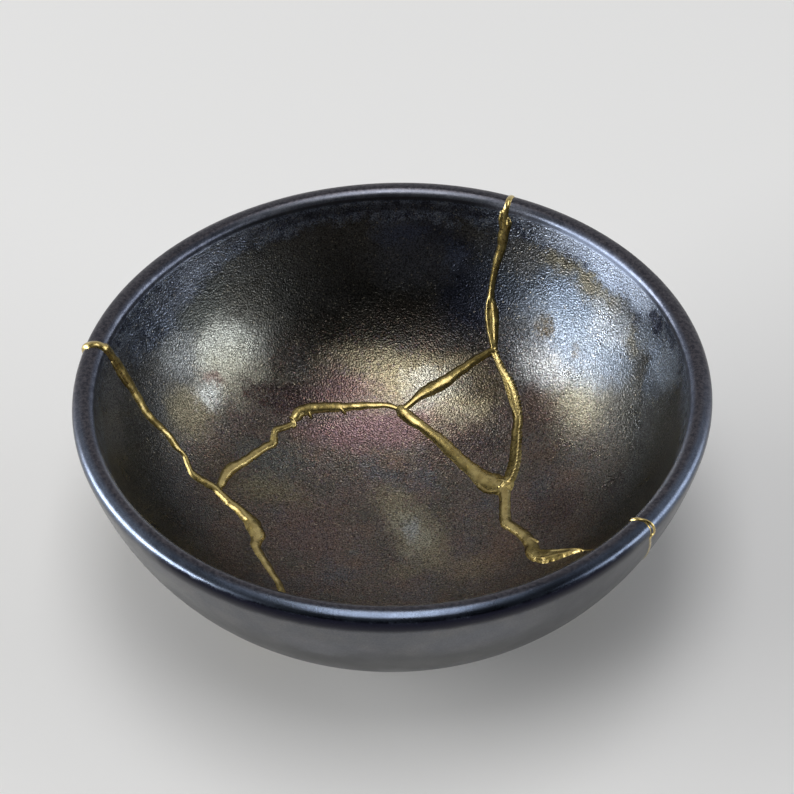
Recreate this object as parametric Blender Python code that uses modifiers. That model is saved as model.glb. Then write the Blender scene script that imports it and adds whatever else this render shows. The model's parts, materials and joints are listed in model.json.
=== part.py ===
"""Kintsugi bowl: a small wheel-thrown stoneware bowl, broken into four shards and joined again with gold-covered lacquer.

The bowl is turned once from its wall profile. Every crack runs square through the wall, so each shard is the part of
the bowl inside a wedge whose sides all point at one apex over the middle of the mouth. The seam is one piece: a thin
web that fills the cracks, and the rounded bead that stands proud on both faces and over the lip.

Metres, +Z up, origin at the middle of the foot ring's resting plane. +X right, -Y towards the viewer.
"""

import math

import bmesh
import bpy
import numpy as np
from mathutils import Vector

MM = 0.001

# ---- the pot -------------------------------------------------------------
MOUTH_R = 65.0          # widest outer radius, just under the lip
HEIGHT = 50.0           # foot to top of lip
LIP_WIDTH = 4.7         # wall thickness at the lip
LIP_CROWN = 2.3         # height of the lip's rounded top above its shoulders
SHOULDER_Z = HEIGHT - LIP_CROWN

OUTER_LEAN = 13.3       # degrees off vertical where the outer wall leaves the lip
OUTER_PULL = 35.5       # length of the outer curve's upper handle
OUTER_FOOT_SLOPE = 22.0  # degrees off horizontal where the outer wall meets the foot
OUTER_FOOT_PULL = 14.0
INNER_LEAN = 13.9       # the same for the inner wall
INNER_PULL = 31.0
FLOOR_Z = 7.4           # inner floor at the centre
FLOOR_PULL = 32.0

FOOT_TOP_R, FOOT_TOP_Z = 22.4, 3.1   # where the wall turns into the foot ring
FOOT_R = 21.8           # outer radius of the ring near the ground
FOOT_FLAT_OUT = 21.2    # flat resting face, from here ...
FOOT_FLAT_IN = 18.4     # ... to here
FOOT_INNER_R = 16.9     # ring's inner side at the recess
RECESS_Z = 2.5          # underside of the base inside the ring
FOOT_CHAMFER = 0.7

TURNS = 56              # facets round the pot
INNER_STEPS, LIP_STEPS, OUTER_STEPS = 12, 8, 12

# ---- the repair ----------------------------------------------------------
APEX_Z = 62.0           # cracks point at this height on the pot's axis
SLOT = 1.0              # opening of a crack between two shards
WEB = 0.4               # thickness of the fill in it
CLEAR = 0.3             # room between the bead and the glaze
BEAD_RISE = 0.55        # height of the bead over that
BACK_WIDTH = 1.8        # most that the bead spreads on the outside of the pot
STEP = 3.8              # spacing of points along a crack
OVER_RIM = 92.0         # cracks are cut on to here, past the lip

# Waypoints of the cracks as seen from the apex: (azimuth, angle off straight down, width of the bead in mm).
LEFT = [(167, 80, 1.6), (166.5, 75, 1.9), (166, 68.5, 2.1), (166, 64.5, 2.1), (166.5, 59, 1.5), (167.5, 53.5, 1.4),
        (168, 49, 1.4), (172, 45.5, 1.5), (173, 39, 1.7), (178, 34, 1.9), (186.5, 31, 2.9), (195, 31, 2.2),
        (204, 31.5, 1.5), (212, 32, 1.5), (220, 33, 1.5), (226, 35, 1.4), (230, 39, 1.4)]
BRANCH = [(173, 39, 1.6), (165, 38.5, 1.7), (156.5, 36.5, 1.6), (147, 35, 1.6), (138, 35.5, 1.5), (128, 36, 1.8),
          (119, 36, 1.8), (108.5, 34, 1.6), (97, 33.5, 1.4), (86, 32, 1.5), (78, 36, 2.5), (69.5, 41, 2.7),
          (63.5, 45.5, 2.0), (60.5, 48.5, 1.6)]
RIGHT = [(65, 80, 1.5), (64, 74, 2.0), (64.5, 69, 1.6), (65, 62.5, 1.5), (65, 58, 1.8), (63, 53, 2.7),
         (60.5, 48.5, 1.8), (53, 43.5, 2.3), (45, 39.5, 2.5), (38, 35, 2.3), (29, 30.5, 2.4), (20, 25.5, 2.3),
         (8, 24.5, 1.6), (-1.5, 24.5, 1.7), (-10, 26.5, 1.9), (-19.5, 31.5, 2.0), (-26, 35, 2.3), (-27, 39, 2.0),
         (-26.5, 43, 1.5), (-28.5, 50, 1.5), (-33, 60, 1.5), (-38, 70, 1.5), (-40, 80, 1.5)]
LOWER = [(86, 32, 1.5), (75, 28, 1.6), (65.5, 25.5, 1.9), (54, 23.5, 2.0), (41, 22.6, 2.0), (31, 22.6, 2.6), (20, 25.5, 2.3)]

GLAZE = (0.055, 0.055, 0.060, 1.0)
GOLD = (0.78, 0.60, 0.27, 1.0)


# ---- the wall's profile --------------------------------------------------

def bezier(p0, p1, p2, p3, n):
    t = np.linspace(0.0, 1.0, n + 1)[:, None]
    p0, p1, p2, p3 = map(np.array, (p0, p1, p2, p3))
    return (1 - t) ** 3 * p0 + 3 * (1 - t) ** 2 * t * p1 + 3 * (1 - t) * t * t * p2 + t ** 3 * p3


def down_from(point, lean, pull):
    a = math.radians(lean)
    return (point[0] - pull * math.sin(a), point[1] - pull * math.cos(a))


def inner_wall(n):
    """(r, z) from the lip's inner shoulder down to the middle of the floor."""
    top = (MOUTH_R - LIP_WIDTH, SHOULDER_Z)
    return bezier(top, down_from(top, INNER_LEAN, INNER_PULL), (FLOOR_PULL, FLOOR_Z), (0.0, FLOOR_Z), n)


def outer_wall(n):
    """(r, z) from the widest point under the lip down to the foot ring."""
    top, foot = (MOUTH_R, SHOULDER_Z), (FOOT_TOP_R, FOOT_TOP_Z)
    a = math.radians(OUTER_FOOT_SLOPE)
    lower = (foot[0] + OUTER_FOOT_PULL * math.cos(a), foot[1] + OUTER_FOOT_PULL * math.sin(a))
    return bezier(top, down_from(top, OUTER_LEAN, OUTER_PULL), lower, foot, n)


def lip(n):
    """(r, z) over the lip, from its inner shoulder to the outer one."""
    a = np.linspace(math.pi, 0.0, n + 1)
    return np.stack([MOUTH_R - LIP_WIDTH / 2 + LIP_WIDTH / 2 * np.cos(a), SHOULDER_Z + LIP_CROWN * np.sin(a)], 1)


def outward(line):
    """Unit normals of an (r, z) line that has the clay on its right-hand side."""
    d = np.gradient(line, axis=0)
    n = np.stack([-d[:, 1], d[:, 0]], 1)
    return n / np.linalg.norm(n, axis=1)[:, None]


def pot_profile():
    foot = [(FOOT_R, FOOT_CHAMFER), (FOOT_FLAT_OUT, 0.0), (FOOT_FLAT_IN, 0.0),
            (FOOT_FLAT_IN - 0.5, 0.5), (FOOT_INNER_R, RECESS_Z), (0.0, RECESS_Z)]
    return np.vstack([inner_wall(INNER_STEPS)[::-1], lip(LIP_STEPS)[1:-1], outer_wall(OUTER_STEPS), foot])


def grown_profile(inside, outside):
    """The pot's section made larger by this much on the faces that a crack reaches."""
    wall = np.vstack([inner_wall(INNER_STEPS)[::-1], lip(LIP_STEPS)[1:-1], outer_wall(OUTER_STEPS)])
    by = np.where(np.arange(len(wall)) <= INNER_STEPS, inside, outside)
    grown = wall + by[:, None] * outward(wall)
    grown[0] = (0.0, FLOOR_Z + inside)
    return np.vstack([grown, [(FOOT_TOP_R, RECESS_Z), (0.0, RECESS_Z)]])


# ---- points on the faces, seen from the apex -----------------------------

def bearing(azimuth, angle):
    """Unit vector from the apex."""
    a, b = math.radians(azimuth), math.radians(angle)
    return np.array([math.sin(b) * math.cos(a), math.sin(b) * math.sin(a), -math.cos(b)])


class Face:
    """One face of the wall, as (r, z) and its normal for each angle off straight down."""

    def __init__(self, line):
        normals = outward(line)
        angle = np.degrees(np.arctan2(line[:, 0], APEX_Z - line[:, 1]))
        order = np.argsort(angle)
        self.angle = angle[order]
        self.table = np.hstack([line, normals])[order]

    def at(self, angle):
        return [np.interp(angle, self.angle, column) for column in self.table.T]


INSIDE = Face(inner_wall(200)[::-1][1:])
OUTSIDE = Face(outer_wall(200))


def crack(waypoints):
    """Rows of (azimuth, angle, width) about STEP apart, on a smooth curve through the waypoints."""
    w = np.array(waypoints, float)
    flat = np.stack([w[:, 1] * np.cos(np.radians(w[:, 0])), w[:, 1] * np.sin(np.radians(w[:, 0])), w[:, 2]], 1)
    ends = np.vstack([2 * flat[0] - flat[1], flat, 2 * flat[-1] - flat[-2]])
    rows = []
    for p0, p1, p2, p3 in zip(ends, ends[1:], ends[2:], ends[3:]):
        count = max(1, round(np.linalg.norm((p2 - p1)[:2]) * 1.02 / STEP))
        for k in range(count):
            t = k / count
            rows.append(0.5 * (2 * p1 + (p2 - p0) * t + (2 * p0 - 5 * p1 + 4 * p2 - p3) * t * t
                               + (3 * p1 - p0 - 3 * p2 + p3) * t ** 3))
    rows.append(flat[-1])
    rows = np.array(rows)
    azimuth = np.degrees(np.unwrap(np.arctan2(rows[:, 1], rows[:, 0])))
    return np.stack([azimuth, np.hypot(rows[:, 0], rows[:, 1]), rows[:, 2]], 1)


# ---- making objects ------------------------------------------------------

def collection(name, hidden=False):
    made = bpy.data.collections.new(name)
    bpy.context.scene.collection.children.link(made)
    made.hide_render = hidden
    return made


def material(name, colour, roughness, metallic):
    made = bpy.data.materials.new(name)
    made.use_nodes = True
    shader = made.node_tree.nodes["Principled BSDF"]
    shader.inputs["Base Color"].default_value = colour
    shader.inputs["Roughness"].default_value = roughness
    shader.inputs["Metallic"].default_value = metallic
    return made


def add(name, mesh, into, cutter=False):
    made = bpy.data.objects.new(name, mesh)
    into.objects.link(made)
    if cutter:
        made.hide_render = True
        made.display_type = "WIRE"
    return made


def from_bmesh(name, bm, into, cutter=False):
    mesh = bpy.data.meshes.new(name)
    bm.to_mesh(mesh)
    bm.free()
    return add(name, mesh, into, cutter)


def face_out(bm):
    bmesh.ops.recalc_face_normals(bm, faces=bm.faces[:])
    if bm.calc_volume(signed=True) < 0:
        bmesh.ops.reverse_faces(bm, faces=bm.faces[:])


def turned(name, profile, into, cutter=False):
    """A solid of revolution from an (r, z) section that starts and ends on the axis."""
    mesh = bpy.data.meshes.new(name)
    points = [(r * MM, 0.0, z * MM) for r, z in profile]
    mesh.from_pydata(points, [(i, i + 1) for i in range(len(points) - 1)], [])
    made = add(name, mesh, into, cutter)
    screw = made.modifiers.new("turn", "SCREW")
    screw.angle = 2 * math.pi
    screw.steps = screw.render_steps = TURNS
    screw.use_merge_vertices = True
    screw.merge_threshold = 0.00001
    return made


def ribbon(name, rows, thickness, into):
    """The sheet swept by a line from the apex along a crack, given a thickness."""
    bm = bmesh.new()
    near, far = [], []
    for azimuth, angle, _ in rows:
        direction = bearing(azimuth, angle)
        for line, reach in ((near, 46.0), (far, 78.0)):
            line.append(bm.verts.new(Vector(direction * reach + (0, 0, APEX_Z)) * MM))
    for i in range(len(near) - 1):
        bm.faces.new((near[i], near[i + 1], far[i + 1], far[i]))
    made = from_bmesh(name, bm, into, cutter=True)
    solidify = made.modifiers.new("thickness", "SOLIDIFY")
    solidify.thickness = thickness * MM
    solidify.offset = 0.0
    solidify.use_even_offset = True
    return made


def wedge(name, outline, into):
    """A closed outline of (azimuth, angle) points, carried out from the apex through the wall."""
    bm = bmesh.new()
    corners = [bm.verts.new((b * math.cos(math.radians(a)), b * math.sin(math.radians(a)), 0.0)) for a, b in outline]
    bm.faces.new(corners)
    bmesh.ops.triangulate(bm, faces=bm.faces[:])
    for axis in ((1, 0, 0), (0, 1, 0)):
        for k in range(-75, 76, 25):
            everything = bm.verts[:] + bm.edges[:] + bm.faces[:]
            bmesh.ops.bisect_plane(bm, geom=everything, dist=1e-6, plane_co=Vector(axis) * (k + 0.37), plane_no=axis)
    bmesh.ops.triangulate(bm, faces=bm.faces[:])
    raised = bmesh.ops.extrude_face_region(bm, geom=bm.faces[:])["geom"]
    bmesh.ops.translate(bm, verts=[g for g in raised if isinstance(g, bmesh.types.BMVert)], vec=(0, 0, 1))
    for vert in bm.verts:
        direction = bearing(math.degrees(math.atan2(vert.co.y, vert.co.x)), math.hypot(vert.co.x, vert.co.y))
        reach = 95.0 if vert.co.z > 0.5 else 38.0
        vert.co = Vector(direction * reach + (0, 0, APEX_Z)) * MM
    face_out(bm)
    return from_bmesh(name, bm, into, cutter=True)


def stations(rows, face):
    """Middle line of a bead on one face: (point, normal, width) for each row."""
    found = []
    for azimuth, angle, width in rows:
        r, z, nr, nz = face.at(angle)
        a = math.radians(azimuth)
        found.append((np.array([r * math.cos(a), r * math.sin(a), z]),
                      np.array([nr * math.cos(a), nr * math.sin(a), nz]),
                      width if face is INSIDE else min(width, BACK_WIDTH)))
    return found


def over_lip(azimuth, width, face, upto=100.0):
    """Stations from a face's shoulder up to the lip's top and a little past it."""
    found = []
    a = math.radians(azimuth)
    for turn in np.linspace(8.0, upto, 5):
        b = math.radians(turn if face is OUTSIDE else 180.0 - turn)
        r = MOUTH_R - LIP_WIDTH / 2 + LIP_WIDTH / 2 * math.cos(b)
        z = SHOULDER_Z + LIP_CROWN * math.sin(b)
        nr, nz = LIP_CROWN * math.cos(b), LIP_WIDTH / 2 * math.sin(b)
        size = math.hypot(nr, nz)
        found.append((np.array([r * math.cos(a), r * math.sin(a), z]),
                      np.array([nr * math.cos(a), nr * math.sin(a), nz]) / size, width))
    return found


def bead(name, line, into, first=1.0, last=1.0):
    """A low rounded bead of changing width laid along a line of stations; an end can be made a little slimmer."""
    points = np.array([s[0] for s in line])
    along = np.gradient(points, axis=0)
    section = ((-0.5, 0.0), (-0.32, 0.72), (0.0, 1.0), (0.32, 0.72), (0.5, 0.0))
    bm = bmesh.new()
    rings = []
    for i, (point, normal, width) in enumerate(line):
        size = first if i == 0 else last if i == len(line) - 1 else 1.0
        side = np.cross(normal, along[i])
        side /= np.linalg.norm(side)
        rings.append([bm.verts.new(Vector(point + side * x * width * size + normal * (CLEAR + y * BEAD_RISE * size)) * MM)
                      for x, y in section])
    for one, two in zip(rings, rings[1:]):
        for k in range(len(section)):
            m = (k + 1) % len(section)
            bm.faces.new((one[k], one[m], two[m], two[k]))
    bm.faces.new(rings[0])
    bm.faces.new(rings[-1][::-1])
    bmesh.ops.triangulate(bm, faces=bm.faces[:])
    face_out(bm)
    return from_bmesh(name, bm, into, cutter=True)


def boolean(target, operation, other):
    made = target.modifiers.new(operation.lower(), "BOOLEAN")
    made.operation = operation
    made.solver = "EXACT"
    if isinstance(other, bpy.types.Collection):
        made.operand_type = "COLLECTION"
        made.collection = other
    else:
        made.object = other
    return made


# ---- the object ----------------------------------------------------------

def build():
    for old in list(bpy.data.objects):
        bpy.data.objects.remove(old, do_unlink=True)

    bowl = collection("kintsugi_bowl")
    cutters = collection("cutters", hidden=True)
    slots = collection("slots", hidden=True)
    webs = collection("webs", hidden=True)
    beads = collection("beads", hidden=True)
    glaze = material("iridescent_glaze", GLAZE, 0.34, 0.55)
    gold = material("gold", GOLD, 0.28, 1.0)

    left, branch, right, lower = crack(LEFT), crack(BRANCH), crack(RIGHT), crack(LOWER)

    def nearest(rows, other, k):
        """Index of the row that lies on waypoint k of other."""
        a, b = math.radians(other[k][0]), other[k][1]
        flat = rows[:, 1, None] * np.stack([np.cos(np.radians(rows[:, 0])), np.sin(np.radians(rows[:, 0]))], 1)
        return int(np.argmin(np.hypot(*(flat - (b * math.cos(a), b * math.sin(a))).T)))

    fork = nearest(left, BRANCH, 0)          # where the branch leaves the left crack
    tip = nearest(branch, LOWER, 0)          # pointed end of the middle shard
    top_corner = nearest(right, BRANCH, -1)  # the middle shard's corner towards the back
    low_corner = nearest(right, LOWER, -1)   # and its corner towards the front

    def brim(start, stop):
        """Outline along the open side of a shard, over the lip."""
        count = max(2, round(abs(stop - start) / 6))
        return [(start + (stop - start) * k / count, 100.0) for k in range(count + 1)]

    def line(rows):
        return [(a, b) for a, b, _ in rows]

    a_left, a_back, a_right = LEFT[0][0], RIGHT[0][0], RIGHT[-1][0]
    outlines = {
        "shard_back": line(left[:fork + 1]) + line(branch[1:]) + line(right[:top_corner][::-1]) + brim(a_back, a_left),
        "shard_right": line(right) + brim(a_right, a_back),
        "shard_middle": line(branch[tip:]) + line(right[top_corner + 1:low_corner + 1]) + line(lower[1:-1][::-1]),
        "shard_front": line(left[:fork + 1]) + line(branch[1:tip + 1]) + line(lower[1:]) + line(right[low_corner + 1:])
        + brim(a_right, a_left - 360.0),
    }

    def run_out(rows, first_end, last_end):
        """A crack's rows, carried on past the lip at an end that reaches it."""
        first = [(rows[0][0], OVER_RIM, 0.0)] if first_end == "rim" else []
        last = [(rows[-1][0], OVER_RIM, 0.0)] if last_end == "rim" else []
        return np.array(first + [tuple(r) for r in rows] + last)

    cracks = {"left": run_out(left, "rim", "wall"), "branch": branch, "right": run_out(right, "rim", "rim"), "lower": lower}
    for name, rows in cracks.items():
        ribbon("slot_" + name, rows, SLOT, slots)
    # The left crack dies out in the wall, and its fill stops just short of the crack's end.
    cracks["left"][-1] += (cracks["left"][-2] - cracks["left"][-1]) * CLEAR / STEP
    first_web = ribbon("web_left", cracks["left"], WEB, cutters)
    for name in ("branch", "right", "lower"):
        ribbon("web_" + name, cracks[name], WEB, webs)

    for name, outline in outlines.items():
        shard = turned(name, pot_profile(), bowl)
        boolean(shard, "INTERSECT", wedge(name + "_wedge", outline, cutters))
        boolean(shard, "DIFFERENCE", slots)
        shard.data.materials.append(glaze)

    for side, face in (("in", INSIDE), ("out", OUTSIDE)):
        slim = 0.9 if face is INSIDE else 0.8
        rows = [r for r in left if r[1] < 75.5]
        bead("bead_left_" + side, over_lip(a_left, LEFT[0][2], face)[::-1] + stations(rows, face), beads, first=slim)
        rows = [r for r in right if r[1] < 75.5]
        bead("bead_right_" + side, over_lip(a_back, RIGHT[0][2], face)[::-1] + stations(rows, face)
             + over_lip(a_right, RIGHT[-1][2], face), beads, first=slim, last=slim)
        bead("bead_branch_" + side, stations(branch, face), beads, first=0.8, last=0.8)
        bead("bead_lower_" + side, stations(lower, face), beads, first=0.75, last=0.75)

    seam = add("gold_seam", first_web.data, bowl)
    solidify = seam.modifiers.new("thickness", "SOLIDIFY")
    solidify.thickness, solidify.offset, solidify.use_even_offset = WEB * MM, 0.0, True
    boolean(seam, "UNION", webs)
    boolean(seam, "INTERSECT", turned("seam_reach", grown_profile(CLEAR + 0.1, CLEAR + 0.3), cutters, cutter=True))
    boolean(seam, "UNION", beads)
    bpy.data.objects.remove(first_web)
    seam.data.materials.append(gold)

    bpy.context.view_layer.update()
    for made in (*(bowl.objects),):
        made.data.shade_smooth()


build()
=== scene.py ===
"""Looks of the kintsugi bowl: a lustre-glazed stoneware bowl in four shards, joined with raised gold seams.

Each shard is cut from one finely turned pot by ruled surfaces that point at the apex the CAD part uses. The gold is
laid on the pot's own surface as strokes of changing width and height, gathered into one closed body with the fill
that runs through the wall. Lengths in the script are millimetres until they reach a mesh.
"""
import json
import math

import bmesh
import bpy
import numpy as np
from mathutils import Matrix, Vector
from mathutils.geometry import delaunay_2d_cdt

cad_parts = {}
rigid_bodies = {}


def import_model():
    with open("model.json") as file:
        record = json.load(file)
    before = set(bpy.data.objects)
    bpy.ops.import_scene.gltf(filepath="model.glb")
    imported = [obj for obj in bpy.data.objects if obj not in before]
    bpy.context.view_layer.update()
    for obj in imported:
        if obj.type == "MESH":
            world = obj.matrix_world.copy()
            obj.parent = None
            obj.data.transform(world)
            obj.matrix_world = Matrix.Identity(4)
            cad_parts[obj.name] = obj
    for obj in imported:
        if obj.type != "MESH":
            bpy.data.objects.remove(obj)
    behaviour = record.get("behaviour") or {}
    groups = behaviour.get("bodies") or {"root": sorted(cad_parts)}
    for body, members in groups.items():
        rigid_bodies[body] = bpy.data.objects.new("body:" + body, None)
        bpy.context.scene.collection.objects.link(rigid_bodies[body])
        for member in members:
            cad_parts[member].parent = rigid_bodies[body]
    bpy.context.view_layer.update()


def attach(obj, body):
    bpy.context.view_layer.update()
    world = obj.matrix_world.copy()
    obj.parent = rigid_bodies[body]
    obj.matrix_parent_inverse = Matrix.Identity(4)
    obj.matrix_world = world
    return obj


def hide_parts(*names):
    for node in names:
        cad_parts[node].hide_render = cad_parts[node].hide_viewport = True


for old in list(bpy.data.objects):
    bpy.data.objects.remove(old, do_unlink=True)

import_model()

MM = 0.001

# ---- the pot (the CAD part's own sizes) ------------------------------------
MOUTH_R, HEIGHT, LIP_WIDTH, LIP_CROWN = 65.0, 50.0, 4.7, 2.3
SHOULDER_Z = HEIGHT - LIP_CROWN
OUTER_LEAN, OUTER_PULL, OUTER_FOOT_SLOPE, OUTER_FOOT_PULL = 13.3, 35.5, 22.0, 14.0
INNER_LEAN, INNER_PULL, FLOOR_Z, FLOOR_PULL = 13.9, 31.0, 7.4, 32.0
FOOT_TOP_R, FOOT_TOP_Z, FOOT_R, FOOT_FLAT_OUT, FOOT_FLAT_IN = 22.4, 3.1, 21.8, 21.2, 18.4
FOOT_INNER_R, RECESS_Z = 16.9, 2.5
APEX_Z = 62.0
# The lip's roll as arcs from its crest: from and to (degrees of the face's normal above level), radius.
ROLL_OUT = [(90, 75, 3.4), (75, 60, 3.8), (60, 15, 1.7), (15, 0, 2.4), (0, -13.7, 6.0)]
ROLL_IN = [(90, 68, 1.7), (68, 45, 2.6), (45, 13.9, 1.5)]
TURNS = 400

# ---- the repair ------------------------------------------------------------
SLOT, WEB = 0.44, 0.26     # crack opening and the fill in it
BED = -0.22                # the gold reaches this far under the glaze
CELL_IN, CELL_OUT = 0.15, 0.24
SPREAD = 1.22              # all widths below are taken this much wider
JOIN_Z = 30.0              # the inner and outer sheets of gold meet at this height on the outside

# Waypoints of the seams: azimuth, angle off straight down as seen from the apex, width, height.
J1, C, J2, J3 = (173.2, 39.4), (86.2, 31.8), (60.5, 48.3), (20.8, 25.5)
LEFT = [(167.3, 80, 1.8, .62), (166.8, 77.6, 1.9, .66), (166.2, 75.4, 2.0, .62), (165.6, 73.0, 2.0, .62), (165.2, 70.4, 2.1, .66), (165.1, 67.3, 2.1, .64),
        (165.3, 64.4, 2.0, .6), (165.7, 61.8, 2.0, .64), (166.3, 59.3, 1.8, .56), (166.0, 56.3, 1.5, .5),
        (165.9, 54.3, 1.5, .5), (166.2, 52.3, 1.7, .55), (167.2, 50.5, 1.6, .55), (167.6, 48.9, 1.15, .42),
        (168.3, 47.6, 1.15, .42), (170.1, 46.5, 1.2, .42), (171.9, 45.3, 1.45, .5), (172.5, 43.6, 1.7, .55),
        (172.6, 41.6, 1.65, .55), (*J1, 1.7, .55), (175.2, 37.6, 1.8, .58), (177.0, 35.7, 1.9, .6),
        (179.0, 33.9, 2.1, .65), (182.1, 32.1, 2.6, .75), (185.7, 31.0, 3.0, .85), (189.5, 30.5, 2.7, .8),
        (194.2, 31.1, 1.9, .6), (198.2, 31.7, 1.6, .5), (203.5, 31.5, 1.5, .5), (211.3, 31.7, 1.35, .45),
        (219.9, 32.7, 1.2, .42), (226, 35, 1.1, .38), (230, 38.6, .8, .25)]
BRANCH = [(*J1, 1.4, .5), (171.1, 38.8, 1.15, .42), (168.8, 38.6, 1.4, .5), (166.0, 38.4, 1.6, .55), (162.9, 38.0, 1.75, .6),
          (158.6, 36.9, 1.5, .52), (154.2, 35.9, 1.4, .5), (149.9, 35.3, 1.35, .46), (145.3, 34.7, 1.25, .45),
          (141.8, 34.2, 1.35, .5), (139.3, 35.1, 1.1, .42), (137.2, 35.9, 1.05, .42), (134.5, 35.5, 1.1, .42),
          (131.5, 35.1, 1.05, .4), (129.9, 35.1, .95, .36), (128.7, 35.6, 1.2, .45), (127.4, 36.0, 1.7, .6), (124.4, 36.5, 1.95, .66),
          (121.6, 36.3, 1.85, .6), (119.1, 35.9, 1.85, .62), (116.4, 35.3, 1.75, .58), (113.8, 34.9, 1.75, .6),
          (110.9, 34.5, 1.6, .52), (108.3, 34.0, 1.5, .5), (105.3, 33.8, 1.4, .46), (102.6, 33.5, 1.35, .46),
          (99.5, 33.4, 1.2, .4), (96.8, 33.2, 1.15, .38), (93.7, 33.1, 1.0, .34), (90.9, 32.8, .9, .3), (88.6, 32.3, .85, .28), (*C, 1.2, .4)]
TIE = [(*C, 1.2, .4), (84.6, 32.5, 1.2, .42), (82.8, 33.5, 1.25, .45), (80.4, 35.0, 1.5, .5), (78.1, 36.2, 2.1, .62), (75.1, 37.6, 2.35, .72),
       (72.9, 38.8, 2.3, .7), (71.5, 39.6, 2.1, .6), (69.2, 41.3, 1.95, .58), (66.8, 43.2, 1.7, .54), (64.8, 45.0, 1.45, .48),
       (62.7, 46.6, 1.3, .45), (*J2, 1.1, .45)]
UP = [(65.0, 80, 1.0, .26), (64.8, 78.2, 1.0, .3), (65.0, 76.4, 1.2, .4), (64.6, 74.6, 1.7, .55), (64.6, 73.0, 1.9, .6), (64.7, 71.2, 1.8, .58), (64.8, 69.4, 1.6, .52),
      (65.0, 67.6, 1.45, .5), (65.2, 65.6, 1.3, .5), (65.4, 63.6, 1.1, .45), (65.4, 61.6, 1.1, .42), (65.2, 59.4, 1.1, .42),
      (64.9, 57.9, 1.4, .5), (64.3, 56.3, 2.0, .5), (63.5, 54.2, 2.3, .5), (62.5, 52.2, 2.1, .46), (61.5, 50.2, 1.6, .42), (*J2, 1.1, .4)]
SIDE = [(*J2, 1.1, .36), (59.2, 47.3, 1.05, .28), (57.1, 46.1, 1.2, .26), (54.0, 44.1, 1.35, .25), (50.4, 42.3, 1.65, .25), (47.6, 40.7, 1.8, .27),
        (44.6, 39.0, 1.5, .34), (42.2, 37.6, 1.5, .40), (38.3, 35.1, 2.0, .34), (33.4, 32.6, 2.2, .34), (28.9, 30.6, 2.4, .36),
        (25.1, 28.8, 2.5, .44), (22.4, 27.5, 2.4, .56), (*J3, 2.4, .66)]
LOWER = [(*C, 1.5, .5), (85.4, 31.2, 1.6, .6), (83.5, 30.4, 1.65, .62), (80.9, 29.5, 1.6, .56), (77.3, 28.5, 1.45, .5), (72.8, 27.3, 1.5, .52),
         (66.2, 25.9, 1.6, .56), (60.4, 24.8, 1.7, .56), (53.7, 23.7, 1.75, .58), (45.4, 23.1, 1.85, .6), (37.1, 23.0, 2.0, .62),
         (30.2, 23.2, 2.5, .7), (25.3, 24.3, 2.8, .74), (*J3, 2.8, .7)]
DOWN = [(*J3, 2.4, .7), (16.6, 25.3, 1.75, .62), (8.8, 24.5, 1.65, .6), (1.0, 24.0, 1.65, .58), (-5.2, 24.6, 1.7, .6),
        (-9.6, 26.3, 1.75, .6), (-13.1, 28.1, 1.75, .6), (-16.8, 29.8, 1.8, .62), (-20.9, 31.2, 1.9, .65), (-24.0, 32.1, 2.1, .7),
        (-26.1, 33.7, 2.4, .78), (-26.9, 35.8, 2.9, .85), (-26.8, 37.8, 2.7, .8), (-26.3, 39.8, 2.0, .62), (-25.9, 41.8, 1.4, .5),
        (-25.9, 43.7, 1.0, .36), (-26.3, 45.0, .45, .16), (-26.8, 46.2, .3, .06), (-28.0, 49.4, .3, .06), (-30.4, 55, .3, .08), (-33.2, 61, .5, .2),
        (-36.2, 67, .6, .28), (-38.8, 73, .6, .3), (-40.3, 77.4, .6, .3), (-40.2, 80, .6, .3)]


# ---- the wall's section ----------------------------------------------------

def bezier(p0, p1, p2, p3, n):
    t = np.linspace(0.0, 1.0, n + 1)[:, None]
    p0, p1, p2, p3 = map(np.array, (p0, p1, p2, p3))
    return (1 - t) ** 3 * p0 + 3 * (1 - t) ** 2 * t * p1 + 3 * (1 - t) * t * t * p2 + t ** 3 * p3


def down_from(point, lean, pull):
    a = math.radians(lean)
    return (point[0] - pull * math.sin(a), point[1] - pull * math.cos(a))


def roll(turns, n):
    """Arcs that follow on smoothly from one another, starting at the origin and heading outward."""
    made, centre = [np.zeros(2)], None
    for start, stop, radius in turns:
        face = lambda degrees: radius * np.array([math.cos(math.radians(degrees)), math.sin(math.radians(degrees))])
        centre = made[-1] - face(start)
        made += [centre + face(v) for v in np.linspace(start, stop, 60)[1:]]
    made = np.array(made)
    run = np.concatenate([[0.0], np.cumsum(np.linalg.norm(np.diff(made, axis=0), axis=1))])
    at = np.linspace(0.0, run[-1], n + 1)
    return np.stack([np.interp(at, run, made[:, 0]), np.interp(at, run, made[:, 1])], 1)


CREST = np.array([MOUTH_R - roll(ROLL_OUT, 400)[:, 0].max(), HEIGHT])
LIP_END = tuple(CREST + roll(ROLL_OUT, 400)[-1])
LIP_START = tuple(CREST + roll(ROLL_IN, 400)[-1] * (-1, 1))


def inner_wall(n):
    top = LIP_START
    return bezier(top, down_from((MOUTH_R - LIP_WIDTH, SHOULDER_Z), INNER_LEAN, INNER_PULL), (FLOOR_PULL, FLOOR_Z), (0.0, FLOOR_Z), n)


def outer_wall(n):
    top, foot = LIP_END, (FOOT_TOP_R, FOOT_TOP_Z)
    a = math.radians(OUTER_FOOT_SLOPE)
    lower = (foot[0] + OUTER_FOOT_PULL * math.cos(a), foot[1] + OUTER_FOOT_PULL * math.sin(a))
    return bezier(top, down_from((MOUTH_R, SHOULDER_Z), OUTER_LEAN, OUTER_PULL), lower, foot, n)


def lip(n):
    """The inner side rolls over quickly; the outer side is nearly a bevel, as the throwing left it."""
    inner = CREST + roll(ROLL_IN, n // 2)[::-1] * (-1, 1)
    return np.vstack([inner, CREST + roll(ROLL_OUT, n // 2)[1:]])


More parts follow.
